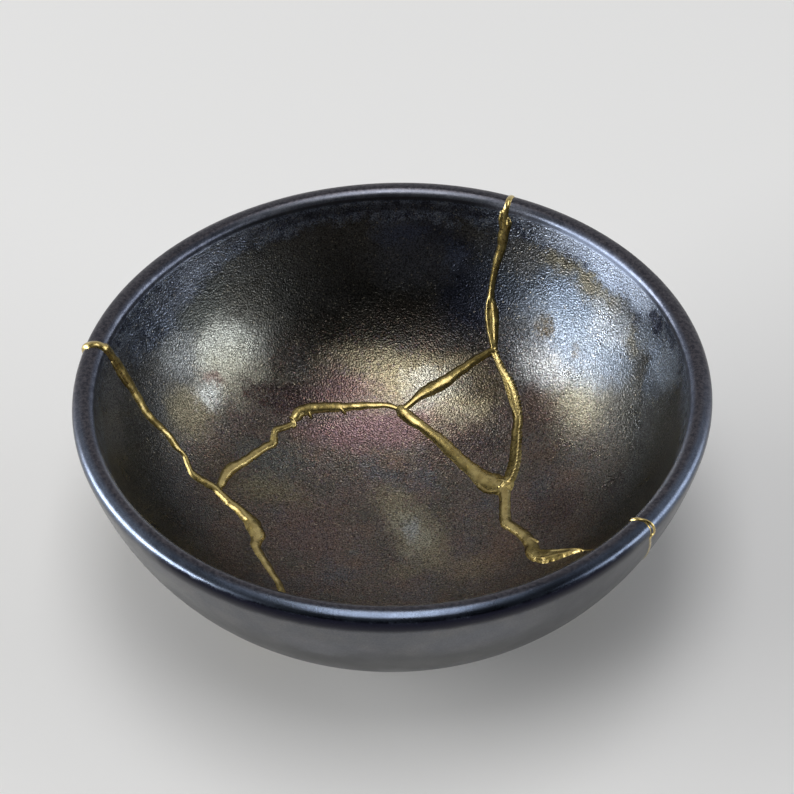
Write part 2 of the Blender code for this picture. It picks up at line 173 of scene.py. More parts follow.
def outward(line):
    d = np.gradient(line, axis=0)
    n = np.stack([-d[:, 1], d[:, 0]], 1)
    return n / np.linalg.norm(n, axis=1)[:, None]


def evenly(line, step):
    """The same line with its points this far apart."""
    run = np.concatenate([[0.0], np.cumsum(np.linalg.norm(np.diff(line, axis=0), axis=1))])
    at = np.linspace(0.0, run[-1], max(2, round(run[-1] / step)) + 1)
    return np.stack([np.interp(at, run, line[:, 0]), np.interp(at, run, line[:, 1])], 1)


def rounded(points, radii, n=5):
    """A polyline with its inner corners rounded to these radii."""
    made = [np.array(points[0], float)]
    for before, corner, after, radius in zip(points, points[1:], points[2:], radii):
        before, corner, after = map(lambda p: np.array(p, float), (before, corner, after))
        u, v = (before - corner), (after - corner)
        reach = min(radius, 0.45 * np.linalg.norm(u), 0.45 * np.linalg.norm(v))
        start, stop = corner + u / np.linalg.norm(u) * reach, corner + v / np.linalg.norm(v) * reach
        for t in np.linspace(0, 1, n):
            made.append((1 - t) ** 2 * start + 2 * t * (1 - t) * corner + t * t * stop)
    made.append(np.array(points[-1], float))
    return np.array(made)


# One line from the middle of the floor over the lip and down to the foot, with its normal at each point.
SKIN = np.vstack([inner_wall(900)[::-1], lip(240)[1:-1], outer_wall(900)])
SKIN_N = outward(SKIN)
SKIN_N[0] = (0.0, 1.0)
RUN = np.concatenate([[0.0], np.cumsum(np.linalg.norm(np.diff(SKIN, axis=0), axis=1))])
RUN_IN, RUN_TOP, RUN_OUT, RUN_FOOT = RUN[900], RUN[900 + 120], RUN[900 + 240], RUN[-1]


def skin(run):
    """(r, z, nr, nz) at a distance along the wall's line."""
    return [np.interp(run, RUN, column) for column in (SKIN[:, 0], SKIN[:, 1], SKIN_N[:, 0], SKIN_N[:, 1])]


def run_at(angle, side):
    """Distance along the wall's line of the inner or outer face at this angle off straight down from the apex."""
    part = slice(1, 901) if side == "in" else slice(1140, None)
    seen = np.degrees(np.arctan2(SKIN[part, 0], APEX_Z - SKIN[part, 1]))
    order = np.argsort(seen)
    return np.interp(angle, seen[order], RUN[part][order])


JOIN_RUN = float(np.interp(-JOIN_Z, -SKIN[1140:, 1], RUN[1140:]))


def ripple(p, wavelength, seed, waves=14):
    """Smooth noise of about unit size at points in millimetres."""
    rng = np.random.default_rng(seed)
    k = rng.normal(size=(waves, 3))
    k *= (2 * math.pi / (wavelength * rng.uniform(0.7, 1.45, waves)) / np.linalg.norm(k, axis=1))[:, None]
    phase = rng.uniform(0, 2 * math.pi, waves)
    total = np.zeros(len(p))
    for one, shift in zip(k, phase):
        total += np.sin(p @ one + shift)
    return total * math.sqrt(2 / waves)


def by_hand(p):
    """How far the potter's bowl departs from a true turned form, as a shift in mm at points in mm."""
    r = np.hypot(p[:, 0], p[:, 1])
    a = np.arctan2(p[:, 1], p[:, 0])
    high = np.clip(p[:, 2] / HEIGHT, 0, 1) ** 1.5
    wide = 0.16 * np.sin(2 * a + 0.9) + 0.09 * np.sin(3 * a - 1.1) + 0.05 * np.sin(5 * a + 2.0)
    up = 0.13 * np.sin(2 * a - 0.4) + 0.07 * np.sin(3 * a + 1.7) + 0.04 * np.sin(7 * a)
    out = np.stack([np.cos(a) * wide * high, np.sin(a) * wide * high, up * high ** 2], 1)
    return out * np.clip(r / 20, 0, 1)[:, None]


# ---- meshes ----------------------------------------------------------------

def link(name, mesh):
    made = bpy.data.objects.new(name, mesh)
    bpy.context.scene.collection.objects.link(made)
    return made


def mesh_from(name, points, polygons):
    mesh = bpy.data.meshes.new(name)
    mesh.from_pydata((np.asarray(points) * MM).tolist(), [], polygons)
    mesh.update()
    return link(name, mesh)


def drop(*objects):
    for one in objects:
        mesh = one.data
        bpy.data.objects.remove(one)
        bpy.data.meshes.remove(mesh)


def boolean(target, operation, *others):
    """Applies a Boolean with closed meshes at once."""
    for other in others:
        made = target.modifiers.new("cut", "BOOLEAN")
        made.operation, made.object, made.solver = operation, other, "MANIFOLD"
    settle(target)


def settle(target):
    bpy.context.view_layer.update()
    graph = bpy.context.evaluated_depsgraph_get()
    result = bpy.data.meshes.new_from_object(target.evaluated_get(graph), depsgraph=graph)
    old = target.data
    target.modifiers.clear()
    target.data = result
    bpy.data.meshes.remove(old)


def turned(name, profile, turns):
    """A closed solid of revolution; the profile starts and ends on the axis."""
    a = np.linspace(0, 2 * math.pi, turns, endpoint=False)
    inner = np.asarray(profile)[1:-1]
    ring = np.stack([np.cos(a), np.sin(a)], 1)
    points = np.concatenate([np.hstack([ring * r, np.full((turns, 1), z)]) for r, z in inner])
    polygons = []
    for i in range(len(inner) - 1):
        low, high = i * turns, (i + 1) * turns
        polygons += [(low + k, low + (k + 1) % turns, high + (k + 1) % turns, high + k) for k in range(turns)]
    first, last, tail = len(points), len(points) + 1, (len(inner) - 1) * turns
    polygons += [(first, (k + 1) % turns, k) for k in range(turns)]
    polygons += [(last, tail + k, tail + (k + 1) % turns) for k in range(turns)]
    points = np.vstack([points, [(0, 0, profile[0][1]), (0, 0, profile[-1][1])]])
    made = mesh_from(name, points, [p[::-1] for p in polygons])
    face_out(made)
    return made


def face_out(made):
    bm = bmesh.new()
    bm.from_mesh(made.data)
    if bm.calc_volume(signed=True) < 0:
        bmesh.ops.reverse_faces(bm, faces=bm.faces[:])
    bm.to_mesh(made.data)
    bm.free()


def pot_profile():
    foot = rounded([(FOOT_TOP_R, FOOT_TOP_Z), (FOOT_R, 0.75), (FOOT_FLAT_OUT, 0.0), (FOOT_FLAT_IN, 0.0), (17.8, 0.6),
                    (FOOT_INNER_R, RECESS_Z), (FOOT_INNER_R - 2.2, RECESS_Z + 0.12)], [0.6, 0.5, 0.45, 0.5, 0.8])
    r = np.linspace(FOOT_INNER_R - 2.9, 0.0, 30)
    base = np.stack([r, RECESS_Z + 0.13 + 0.05 * np.sin(r * 2.1)], 1)   # turning rings under the foot
    wall = np.vstack([evenly(inner_wall(900)[::-1], 1.05), lip(26)[1:-1], evenly(outer_wall(900), 1.1)])
    return np.vstack([wall, foot[1:], base])


def shrunk_profile(by):
    wall = np.vstack([inner_wall(60)[::-1], lip(16)[1:-1], outer_wall(60)])
    wall = wall - by * outward(wall)
    wall[0] = (0.0, FLOOR_Z - by)
    return np.vstack([wall, [(FOOT_TOP_R, RECESS_Z), (0.0, RECESS_Z)]])


# ---- cracks through the wall -----------------------------------------------

def bearing(azimuth, angle):
    a, b = math.radians(azimuth), math.radians(angle)
    return np.array([math.sin(b) * math.cos(a), math.sin(b) * math.sin(a), -math.cos(b)])


def through(waypoints, step):
    """Rows of a smooth curve through waypoints of any number of columns, spaced by about step; the first two columns are
    an azimuth in degrees and a distance or angle from the axis."""
    w = np.array(waypoints, float)
    ends = np.vstack([2 * w[0] - w[1], w, 2 * w[-1] - w[-2]])
    rows = []
    for p0, p1, p2, p3 in zip(ends, ends[1:], ends[2:], ends[3:]):
        length = math.hypot(math.radians(p2[0] - p1[0]) * 0.5 * (p1[1] + p2[1]), p2[1] - p1[1])
        count = max(1, round(length / step))
        for k in range(count):
            t = k / count
            row = 0.5 * (2 * p1 + (p2 - p0) * t + (2 * p0 - 5 * p1 + 4 * p2 - p3) * t * t
                         + (3 * p1 - p0 - 3 * p2 + p3) * t ** 3)
            rows.append(row)
    rows.append(w[-1])
    return np.array(rows)


def ribbon(name, rows, thickness):
    """The sheet swept by a line from the apex along a crack, with a thickness."""
    bm = bmesh.new()
    near, far = [], []
    for azimuth, angle in rows:
        direction = bearing(azimuth, angle)
        for line, reach in ((near, 46.0), (far, 78.0)):
            line.append(bm.verts.new(Vector(direction * reach + (0, 0, APEX_Z)) * MM))
    for i in range(len(near) - 1):
        bm.faces.new((near[i], near[i + 1], far[i + 1], far[i]))
    mesh = bpy.data.meshes.new(name)
    bm.to_mesh(mesh)
    bm.free()
    made = link(name, mesh)
    solidify = made.modifiers.new("thickness", "SOLIDIFY")
    solidify.thickness, solidify.offset, solidify.use_even_offset = thickness * MM, 0.0, True
    settle(made)
    face_out(made)
    return made


def wedge(name, outline):
    """A closed outline of (azimuth, angle) points, carried out from the apex through the wall."""
    bm = bmesh.new()
    corners = [bm.verts.new((b * math.cos(math.radians(a)), b * math.sin(math.radians(a)), 0.0)) for a, b in outline]
    bm.faces.new(corners)
    bmesh.ops.triangulate(bm, faces=bm.faces[:])
    for axis in ((1, 0, 0), (0, 1, 0)):
        for k in range(-75, 76, 25):
            everything = bm.verts[:] + bm.edges[:] + bm.faces[:]
            bmesh.ops.bisect_plane(bm, geom=everything, dist=1e-6, plane_co=Vector(axis) * (k + 0.37), plane_no=axis)
    bmesh.ops.triangulate(bm, faces=bm.faces[:])
    raised = bmesh.ops.extrude_face_region(bm, geom=bm.faces[:])["geom"]
    bmesh.ops.translate(bm, verts=[g for g in raised if isinstance(g, bmesh.types.BMVert)], vec=(0, 0, 1))
    for vert in bm.verts:
        direction = bearing(math.degrees(math.atan2(vert.co.y, vert.co.x)), math.hypot(vert.co.x, vert.co.y))
        reach = 95.0 if vert.co.z > 0.5 else 38.0
        vert.co = Vector(direction * reach + (0, 0, APEX_Z)) * MM
    bmesh.ops.recalc_face_normals(bm, faces=bm.faces[:])
    if bm.calc_volume(signed=True) < 0:
        bmesh.ops.reverse_faces(bm, faces=bm.faces[:])
    mesh = bpy.data.meshes.new(name)
    bm.to_mesh(mesh)
    bm.free()
    return link(name, mesh)


def cut_line(waypoints):
    return through([w[:2] for w in waypoints], 1.1)


def make_shards():
    lines = {k: cut_line(v) for k, v in (("left", LEFT), ("branch", BRANCH), ("tie", TIE), ("up", UP), ("side", SIDE),
                                         ("lower", LOWER), ("down", DOWN))}
    fork = int(np.argmin(np.hypot(lines["left"][:, 0] - J1[0], lines["left"][:, 1] - J1[1])))

    def brim(start, stop):
        count = max(2, round(abs(stop - start) / 6))
        return [(start + (stop - start) * k / count, 100.0) for k in range(count + 1)]

    def one(name):
        return [tuple(row) for row in lines[name]]

    left = one("left")[:fork + 1]
    a_left, a_back, a_right = LEFT[0][0], UP[0][0], DOWN[-1][0]
    outlines = {
        "shard_back": left + one("branch")[1:] + one("tie")[1:] + one("up")[::-1][1:] + brim(a_back, a_left),
        "shard_right": one("up") + one("side")[1:] + one("down")[1:] + brim(a_right, a_back),
        "shard_middle": one("tie") + one("side")[1:] + one("lower")[::-1][1:-1],
        "shard_front": left + one("branch")[1:] + one("lower")[1:] + one("down")[1:] + brim(a_right, a_left - 360.0),
    }
    over = {"left": [(a_left, 92.0)] + one("left"), "up": [(a_back, 92.0)] + one("up"), "down": one("down") + [(a_right, 92.0)]}
    gaps = [ribbon("gap_" + k, over.get(k, one(k)), SLOT) for k in lines]
    fills = [ribbon("fill_" + k, over.get(k, one(k)), WEB) for k in lines]
    shards = []
    pot = turned("pot", pot_profile(), TURNS)
    for name, outline in outlines.items():
        piece = link(name + "_glazed", pot.data.copy())
        cutter = wedge(name + "_wedge", outline)
        boolean(piece, "INTERSECT", cutter)
        boolean(piece, "DIFFERENCE", *gaps)
        drop(cutter)
        shards.append((piece, name))
    drop(pot, *gaps)
    return shards, fills


# ---- gold laid on the surface ----------------------------------------------

class Chart:
    """A flat map of one side of the pot: the inside from the middle of the floor, the outside from the foot."""

    def __init__(self, side, cell, start, stop):
        self.side, self.cell, self.start, self.stop = side, cell, start, stop
        self.reach = max(self.far(start), self.far(stop)) + 4 * cell
        n = int(math.ceil(self.reach / cell))
        axis = (np.arange(-n, n + 1)) * cell
        self.origin, self.n = -n * cell, 2 * n + 1
        x, y = np.meshgrid(axis, axis, indexing="ij")
        self.height = np.full(x.shape, -1.0)
        self.x, self.y = x, y

    def far(self, run):
        return run if self.side == "in" else FOOT_TOP_R + RUN_FOOT - run

    def run(self, far):
        return far if self.side == "in" else FOOT_TOP_R + RUN_FOOT - far

    def place(self, x, y):
        """Points and normals on the pot for places on the map."""
        far = np.hypot(x, y)
        c, s = x / np.maximum(far, 1e-9), y / np.maximum(far, 1e-9)
        r, z, nr, nz = skin(self.run(far))
        return np.stack([r * c, r * s, z], -1), np.stack([nr * c, nr * s, nz], -1)


def section(t, height, crest, power):
    """Height across a stroke at t, from -1 at its left edge to 1 at its right; it falls on at the same slope outside."""
    side = np.where(t < crest, (crest - t) / (1 + crest), (t - crest) / (1 - crest))
    inside = 1 - np.minimum(side, 1) ** power
    return height * np.where(side <= 1, inside, -power * (side - 1))


class Stroke:
    """One run of gold. Its rows are azimuth, distance along the wall's line, width and height."""

    def __init__(self, rows, crest=0.0, power=2.5, blend=0.16, rough=0.028, edge=0.05, teeth=0.0, seed=1, lumps=()):
        self.rows = through(rows, 0.3) if len(rows) > 1 else np.array(rows, float)
        self.rows[:, 2] *= SPREAD
        self.rows[:, 2:] = np.maximum(self.rows[:, 2:], 0.02)
        self.crest, self.power, self.blend, self.rough, self.edge = crest, power, blend, rough, edge
        self.teeth, self.seed, self.lumps = teeth, seed, lumps

    def lay(self, chart):
        rows = self.rows
        a = np.radians(rows[:, 0])
        far = chart.far(rows[:, 1])
        x, y = far * np.cos(a), far * np.sin(a)
        points, normals = chart.place(x, y)
        keep = (rows[:, 1] > min(chart.start, chart.stop) - 3) & (rows[:, 1] < max(chart.start, chart.stop) + 3)
        if not keep.any():
            return
        if len(rows) > 1:
            along = np.gradient(points, axis=0)
            along /= np.linalg.norm(along, axis=1)[:, None]
            run = np.concatenate([[0], np.cumsum(np.linalg.norm(np.diff(points, axis=0), axis=1))])
        else:
            along, run = np.array([[0.0, 0.0, 1.0]]), np.zeros(1)
        across = np.cross(along, normals)      # to the right of the stroke, seen from outside the clay
        size = chart.height.shape
        best = {}
        pad = rows[:, 2] / 2 + 0.9
        stretch = np.maximum(far, 1) / np.maximum(np.hypot(points[:, 0], points[:, 1]), 1)
        dist = np.full(size, np.inf, np.float32)
        sign = np.zeros(size, np.float32)
        where = np.zeros(size, np.float32)
        for i in range(max(len(rows) - 1, 1)):
            j = min(i + 1, len(rows) - 1)
            if not (keep[i] or keep[j]):
                continue
            margin = max(pad[i], pad[j]) * max(stretch[i], 1.0) + chart.cell
            lo = [int((min(v[i], v[j]) - margin - chart.origin) / chart.cell) for v in (x, y)]
            hi = [int((max(v[i], v[j]) + margin - chart.origin) / chart.cell) + 2 for v in (x, y)]
            lo = [max(v, 0) for v in lo]
            hi = [min(v, n) for v, n in zip(hi, size)]
            if lo[0] >= hi[0] or lo[1] >= hi[1]:
                continue
            block = (slice(lo[0], hi[0]), slice(lo[1], hi[1]))
            p, _ = chart.place(chart.x[block], chart.y[block])
            span = points[j] - points[i]
            length = float(span @ span)
            t = np.clip((p - points[i]) @ span / length, 0, 1) if length > 0 else np.zeros(p.shape[:2])
            off = p - (points[i] + t[..., None] * span)
            d = np.linalg.norm(off, axis=-1)
            nearer = d < dist[block]
            dist[block] = np.where(nearer, d, dist[block])
            side = np.sign(off @ (across[i] * (1 - 0) + across[j]))
            sign[block] = np.where(nearer, side, sign[block])
            where[block] = np.where(nearer, run[i] + t * (run[j] - run[i]), where[block])
        hit = np.isfinite(dist)
        if not hit.any():
            return
        l = where[hit].astype(float)
        width = np.interp(l, run, rows[:, 2])
        height = np.interp(l, run, rows[:, 3])
        p, _ = chart.place(chart.x[hit], chart.y[hit])
        s = sign[hit]
        line = np.stack([l, s * 7.0, np.zeros_like(l)], 1)
        half = width / 2 * (1 + self.edge * ripple(line, 2.9, self.seed) + 0.25 * self.edge * ripple(line, 1.1, self.seed + 1))
        if self.teeth:
            saw = np.abs(((l + 0.2 * np.sin(l * 1.3)) / 0.95) % 1.0 - 0.5) * 2
            deep = 0.75 + 0.35 * np.sin(l * 2.1) * np.sin(l * 0.7)
            half = np.where(s * self.teeth > 0, half + abs(self.teeth) * deep * (saw - 0.5), half)
        height = height * (1 + 0.6 * self.rough * ripple(np.stack([l, 0 * l, 0 * l], 1), 3.4, self.seed + 2))
        for at, more, spread in self.lumps:
            height = height + more * np.exp(-((l - at) / spread) ** 2)
        t = s * dist[hit] / np.maximum(half, 0.02)
        f = section(t, height, self.crest, self.power)
        f = f + self.rough * np.clip(height, 0, 1) * (0.9 * ripple(p, 2.6, self.seed + 3) + 0.14 * ripple(p, 1.0, self.seed + 4)) * np.clip(1.3 - np.abs(t), 0, 1)
        f = np.maximum(f, -1.0)
        old = chart.height[hit]
        k = self.blend
        gap = np.maximum(k - np.abs(old - f), 0) / max(k, 1e-6)
        chart.height[hit] = np.maximum(old, f) + gap * gap * k / 4


CORNERS = {1: ["a03"], 2: ["b10"], 3: ["ab13"], 4: ["c21"], 5: ["a03", "c21"], 6: ["bc20"], 7: ["abc23"], 8: ["d32"],
           9: ["a02d"], 10: ["b10", "d32"], 11: ["ab12d"], 12: ["cd31"], 13: ["a01cd"], 14: ["bcd30"], 15: ["abcd"]}


def cast(chart):
    """The closed body of gold on a chart: its top follows the heights, and its underside lies just under the glaze."""
    h = chart.height
    far = np.hypot(chart.x, chart.y)
    run = chart.run(far)
    h = np.where((run < chart.start) | (run > chart.stop), -1.0, h) if chart.side == "in" else \
        np.where((run < chart.start) | (run > chart.stop), -1.0, h)
    near = np.abs(h - BED) < 0.012
    h = np.where(near, np.where(h >= BED, BED + 0.012, BED - 0.012), h)
    inside = h > BED
    nx, ny = h.shape
    index = np.full(h.shape, -1, np.int64)
    count = int(inside.sum())
    index[inside] = np.arange(count)
    top, normal = chart.place(chart.x[inside], chart.y[inside])
    points = [top + normal * h[inside][:, None]]

    def crossings(one, two, ax, ay, bx, by, start):
        cross = inside[one] != inside[two]
        t = ((BED - h[one]) / (h[two] - h[one] + 1e-30))[cross]
        fx, fy = ax[cross] + t * (bx - ax)[cross], ay[cross] + t * (by - ay)[cross]
        p, n = chart.place(fx, fy)
        number = np.full(cross.shape, -1, np.int64)
        number[cross] = start + np.arange(int(cross.sum()))
        return number, p + n * BED, np.stack([fx, fy], 1)

    e = np.s_[:-1, :], np.s_[1:, :], np.s_[:, :-1], np.s_[:, 1:]
    across, p1, f1 = crossings(e[0], e[1], chart.x[e[0]], chart.y[e[0]], chart.x[e[1]], chart.y[e[1]], count)
    up, p2, f2 = crossings(e[2], e[3], chart.x[e[2]], chart.y[e[2]], chart.x[e[3]], chart.y[e[3]], count + len(p1))
    points = np.vstack([points[0], p1, p2])
    flat = np.vstack([f1, f2])
    corner = {"a": index[:-1, :-1], "b": index[1:, :-1], "c": index[1:, 1:], "d": index[:-1, 1:],
              "0": across[:, :-1], "1": up[1:, :], "2": across[:, 1:], "3": up[:-1, :]}
    code = (inside[:-1, :-1] * 1 + inside[1:, :-1] * 2 + inside[1:, 1:] * 4 + inside[:-1, 1:] * 8)
    polygons, rim = [], []
    for case, shapes in CORNERS.items():
        cells = code == case
        if not cells.any():
            continue
        for shape in shapes:
            found = np.stack([corner[letter][cells] for letter in shape], 1)
            polygons += found.tolist()
            for one, two in zip(shape, shape[1:] + shape[0]):
                if one.isdigit() and two.isdigit():
                    rim.append(np.stack([corner[one][cells], corner[two][cells]], 1))
    rim = np.vstack(rim) - count
    made = delaunay_2d_cdt([Vector(p) for p in flat.tolist()], rim.tolist(), [], 0, 1e-7)
    verts, triangles, origin = made[0], made[2], made[3]
    back = [o[0] if o else -1 for o in origin]
    if len(verts) != len(flat) or min(back) < 0:
        print("cast: the underside changed", len(flat), "points to", len(verts))
    directed = set(map(tuple, rim.tolist()))
    tri = [tuple(back[v] for v in t) for t in triangles]
    parent = list(range(len(tri)))

    def root(i):
        while parent[i] != i:
            parent[i] = parent[parent[i]]
            i = parent[i]
        return i

    mark = [0] * len(tri)
    edge_of = {}
    for i, t in enumerate(tri):
        for u, v in ((t[0], t[1]), (t[1], t[2]), (t[2], t[0])):
            if (u, v) in directed:
                mark[i] = 1
            elif (v, u) in directed:
                mark[i] = -1
            else:
                other = edge_of.pop((v, u), None)
                if other is None:
                    edge_of[(u, v)] = i
                else:
                    parent[root(i)] = root(other)
    votes = {}
    for i in range(len(tri)):
        votes[root(i)] = votes.get(root(i), 0) + mark[i]
    under = [[count + v for v in t[::-1]] for i, t in enumerate(tri) if votes[root(i)] > 0]
    polygons += under
    if chart.side == "out":
        polygons = [p[::-1] for p in polygons]
    return points, polygons, (count, len(under))


def on_wall(waypoints, side, widest=9.0, thin=1.0, low=1.0):
    """Rows with an angle as seen from the apex, as rows with a distance along the wall's line."""
    return [(a, float(run_at(b, side)), min(w * thin, widest), h * low) for a, b, w, h in waypoints]


def over_the_rim(azimuths, sizes):
    """Rows over the lip, from its inner shoulder to its outer one."""
    turns = np.linspace(RUN_IN + 0.5, RUN_OUT - 0.5, len(azimuths))
    return [(a, float(t), w, h) for a, t, (w, h) in zip(azimuths, turns, sizes)]


def main_strokes():
    """The seams themselves, each as one run from the inside over the rim where it gets there."""
    outside = dict(widest=1.8, thin=0.86, low=0.85)
    rim_left = over_the_rim([167.2, 167.4, 167.5, 167.4, 167.3], [(1.8, .6), (1.7, .55), (1.7, .55), (1.6, .5), (1.6, .5)])
    rim_up = over_the_rim([64.8, 64.9, 65.0, 65.1, 65.0], [(1.0, .25), (1.0, .24), (1.0, .24), (1.1, .3), (1.2, .36)])
    rim_down = over_the_rim([-40.9, -40.6, -39.9, -39.5, -39.4], [(.7, .3), (.72, .3), (.66, .26), (.62, .26), (.62, .26)])
    inner = lambda rows: [r for r in rows if r[1] < 78.0]
    left = on_wall(inner(LEFT), "in")[::-1] + rim_left + on_wall(inner(LEFT), "out", **outside)
    up = on_wall(inner(UP), "in")[::-1] + rim_up + on_wall(inner(UP), "out", **outside)
    down = on_wall(inner(DOWN), "in") + rim_down + on_wall(inner(DOWN)[::-1], "out", **outside)
    for rows, wider in ((left, 1.14), (up, 1.12), (down, 1.28)):
        rows[:] = [(a, t, w * wider if t < RUN_IN else w, h) for a, t, w, h in rows]
    found = [Stroke(left, seed=11, lumps=[(61, .12, 1.2), (88, .14, .9)]), Stroke(up, seed=21), Stroke(down, seed=31)]
    for k, (rows, wider, uneven) in enumerate(((BRANCH, 1.2, .03), (TIE, 1.14, .02), (SIDE, 0.92, .02), (LOWER, 1.46, .022))):
        found.append(Stroke(on_wall(rows, "in", thin=wider), seed=41 + 10 * k, rough=uneven))
        found.append(Stroke(on_wall(rows, "out", **outside), seed=141 + 10 * k))
    return found


def detail_strokes():
    """Strands, lips, drips and knots that lie on or beside the seams."""
    def s(rows, **kw):
        return Stroke(on_wall(rows, "in"), **kw)
    return [
        # a second strand beside the left seam, under the rim
        s([(167.2, 74.2, .5, .25), (167.1, 72.6, .6, .4), (167.0, 70.4, .65, .42), (166.8, 68.4, .55, .4), (166.4, 66.6, .5, .3)], seed=201, blend=0.02),
        # two strands that make the leaf above the middle shard's corner, with the crease between them
        s([(65.4, 58.6, .7, .4), (65.3, 56.9, 1.1, .6), (64.7, 54.7, 1.3, .62), (63.5, 52.2, 1.25, .58), (62.0, 50.0, 1.0, .5), (60.8, 48.6, .7, .4)], seed=203, blend=0.03),
        s([(64.7, 58.3, .7, .4), (63.8, 56.8, 1.1, .58), (62.7, 54.6, 1.25, .58), (61.7, 52.3, 1.2, .55), (60.9, 50.3, 1.0, .46), (60.3, 48.6, .6, .4)], seed=205, blend=0.03),
        # folded lumps under the rim
        s([(65.3, 73.4, 1.0, .6), (65.7, 75.0, 1.0, .66), (65.6, 76.6, .9, .55)], seed=207, blend=0.04),
        s([(64.2, 75.6, .9, .45), (63.9, 74.6, 1.2, .7), (64.1, 73.6, 1.0, .6)], seed=209, blend=0.04),
        # the ribbon down the middle shard's right side: a thin edge, a flat bed and a broad toothed edge
        s([(61.0, 47.9, .4, .42), (58.3, 46.0, .42, .48), (54.9, 43.95, .42, .5), (52.1, 42.1, .45, .5), (49.0, 40.3, .48, .52), (46.1, 39.0, .5, .54), (43.6, 38.1, .5, .54), (42.0, 37.4, .4, .5)], seed=211, blend=0.03, rough=.012),
        s([(60.3, 48.4, .9, .34), (59.6, 47.75, 1.15, .40), (57.0, 45.75, 1.3, .46), (54.1, 44.45, 1.45, .50), (50.8, 42.9, 1.6, .53), (47.9, 41.3, 1.75, .55), (45.4, 39.75, 1.9, .57), (43.1, 38.4, 1.8, .60), (40.2, 36.8, 1.6, .64)], seed=213, blend=0.10, teeth=-0.62, crest=-0.6, power=1.1, rough=.010),
        # beads along its lower half
        s([(41.4, 37.7, 1.2, .66), (38.2, 35.3, 1.75, .72), (34.0, 33.0, 1.9, .76), (30.2, 31.2, 2.0, .78), (26.4, 29.4, 2.15, .8), (23.5, 28.0, 2.1, .8), (21.9, 27.2, 1.6, .7)], seed=215, blend=0.22, teeth=-0.55, crest=-0.58, power=1.25, rough=.014),
        # lip of gold that rolled over below the lower junction
        s([(29.5, 21.6, .5, .3), (28.0, 21.2, .75, .45), (23.1, 21.6, .7, .48), (20.2, 22.4, .7, .48), (18.2, 23.9, .7, .42)], seed=217, blend=0.02),
        # the spur and the folded leaf at the front right
        s([(-15.4, 29.2, 1.2, .6), (-17.0, 30.6, 1.0, .6), (-18.3, 31.8, .75, .5), (-18.8, 32.5, .4, .3)], seed=219, blend=0.05),
        s([(-24.5, 33.8, 1.0, .7), (-25.2, 35.6, 1.1, .8), (-25.3, 37.6, 1.0, .85), (-25.2, 39.8, .9, .72), (-25.3, 41.8, .8, .6), (-25.8, 43.8, .7, .5), (-26.4, 44.9, .4, .3)], seed=221, blend=0.12),
        s([(-28.6, 34.6, .9, .7), (-28.9, 36.2, 1.2, .9), (-28.2, 37.9, 1.2, .88), (-27.2, 39.6, 1.0, .72), (-26.6, 41.2, .8, .5)], seed=223, blend=0.12),
        # knot and hook on the branch
        s([(130.4, 34.2, .5, .4), (129.4, 34.5, .6, .5), (128.9, 35.6, .7, .55), (129.3, 36.5, .5, .4)], seed=225, blend=0.04),
        # small drips on the lower side of the branch
        s([(110.4, 34.2, .9, .5), (109.6, 33.2, .75, .5), (109.2, 32.5, .5, .34)], seed=233, blend=0.06),
        s([(121.9, 36.0, .9, .5), (122.2, 34.9, .7, .46), (122.5, 34.3, .4, .3)], seed=235, blend=0.06),
        # the fused tip of the middle shard
        s([(87.0, 31.6, .9, .5), (85.2, 31.6, 1.3, .62), (84.0, 31.2, 1.2, .6)], seed=227, blend=0.1),
        # crumpled gold at the lower junction
        s([(24.0, 25.3, 1.3, .85), (21.8, 26.2, 1.2, .9), (19.8, 25.3, 1.1, .85)], seed=229, blend=0.06),
        s([(27.0, 23.8, 1.1, .8), (23.5, 24.2, 1.1, .82), (20.2, 24.6, 1.1, .8)], seed=231, blend=0.05),
    ]


def make_seam(fills):
    inside = Chart("in", CELL_IN, 0.0, JOIN_RUN + 0.04)
    outside = Chart("out", CELL_OUT, JOIN_RUN - 0.04, RUN_FOOT)
    for chart in (inside, outside):
        for stroke in main_strokes():
            stroke.lay(chart)
    for stroke in detail_strokes():
        stroke.lay(inside)
    bodies = []
    for chart in (inside, outside):
        points, polygons, sizes = cast(chart)
        print("gold", chart.side, sizes, len(polygons))
        bodies.append(mesh_from("gold_" + chart.side, points, polygons))
    seam, back = bodies
    reach = turned("reach", shrunk_profile(0.06), 160)
    for fill in fills:
        boolean(fill, "INTERSECT", reach)
    drop(reach)
    boolean(seam, "UNION", back)
    boolean(seam, "UNION", *fills)
    drop(back, *fills)
    seam.name = "gold_repair_seam"
    return seam


def finish_mesh(piece, angle):
    """Hand-made departures, smooth shading with the true edges kept, and the distance along the wall's line for the glaze."""
    mesh = piece.data
    mesh.name = piece.name
    count = len(mesh.vertices)
    p = np.empty(count * 3, np.float32)
    mesh.vertices.foreach_get("co", p)
    p = p.reshape(-1, 3).astype(float) / MM
    r = np.hypot(p[:, 0], p[:, 1])
    run = np.empty(count)
    coarse = slice(None, None, 6)
    line, line_run = SKIN[coarse], RUN[coarse]
    for part in np.array_split(np.arange(count), max(1, count // 4000)):
        d = (r[part, None] - line[None, :, 0]) ** 2 + (p[part, 2][:, None] - line[None, :, 1]) ** 2
        run[part] = line_run[np.argmin(d, axis=1)]
    attribute = mesh.attributes.new("wall_run", "FLOAT", "POINT")
    attribute.data.foreach_set("value", (run - RUN_TOP).astype(np.float32))
    p = p + by_hand(p)
    mesh.vertices.foreach_set("co", (p * MM).astype(np.float32).ravel())
    mesh.shade_smooth()
    mesh.set_sharp_from_angle(angle=math.radians(angle))
    mesh.update()


# ---- materials -------------------------------------------------------------

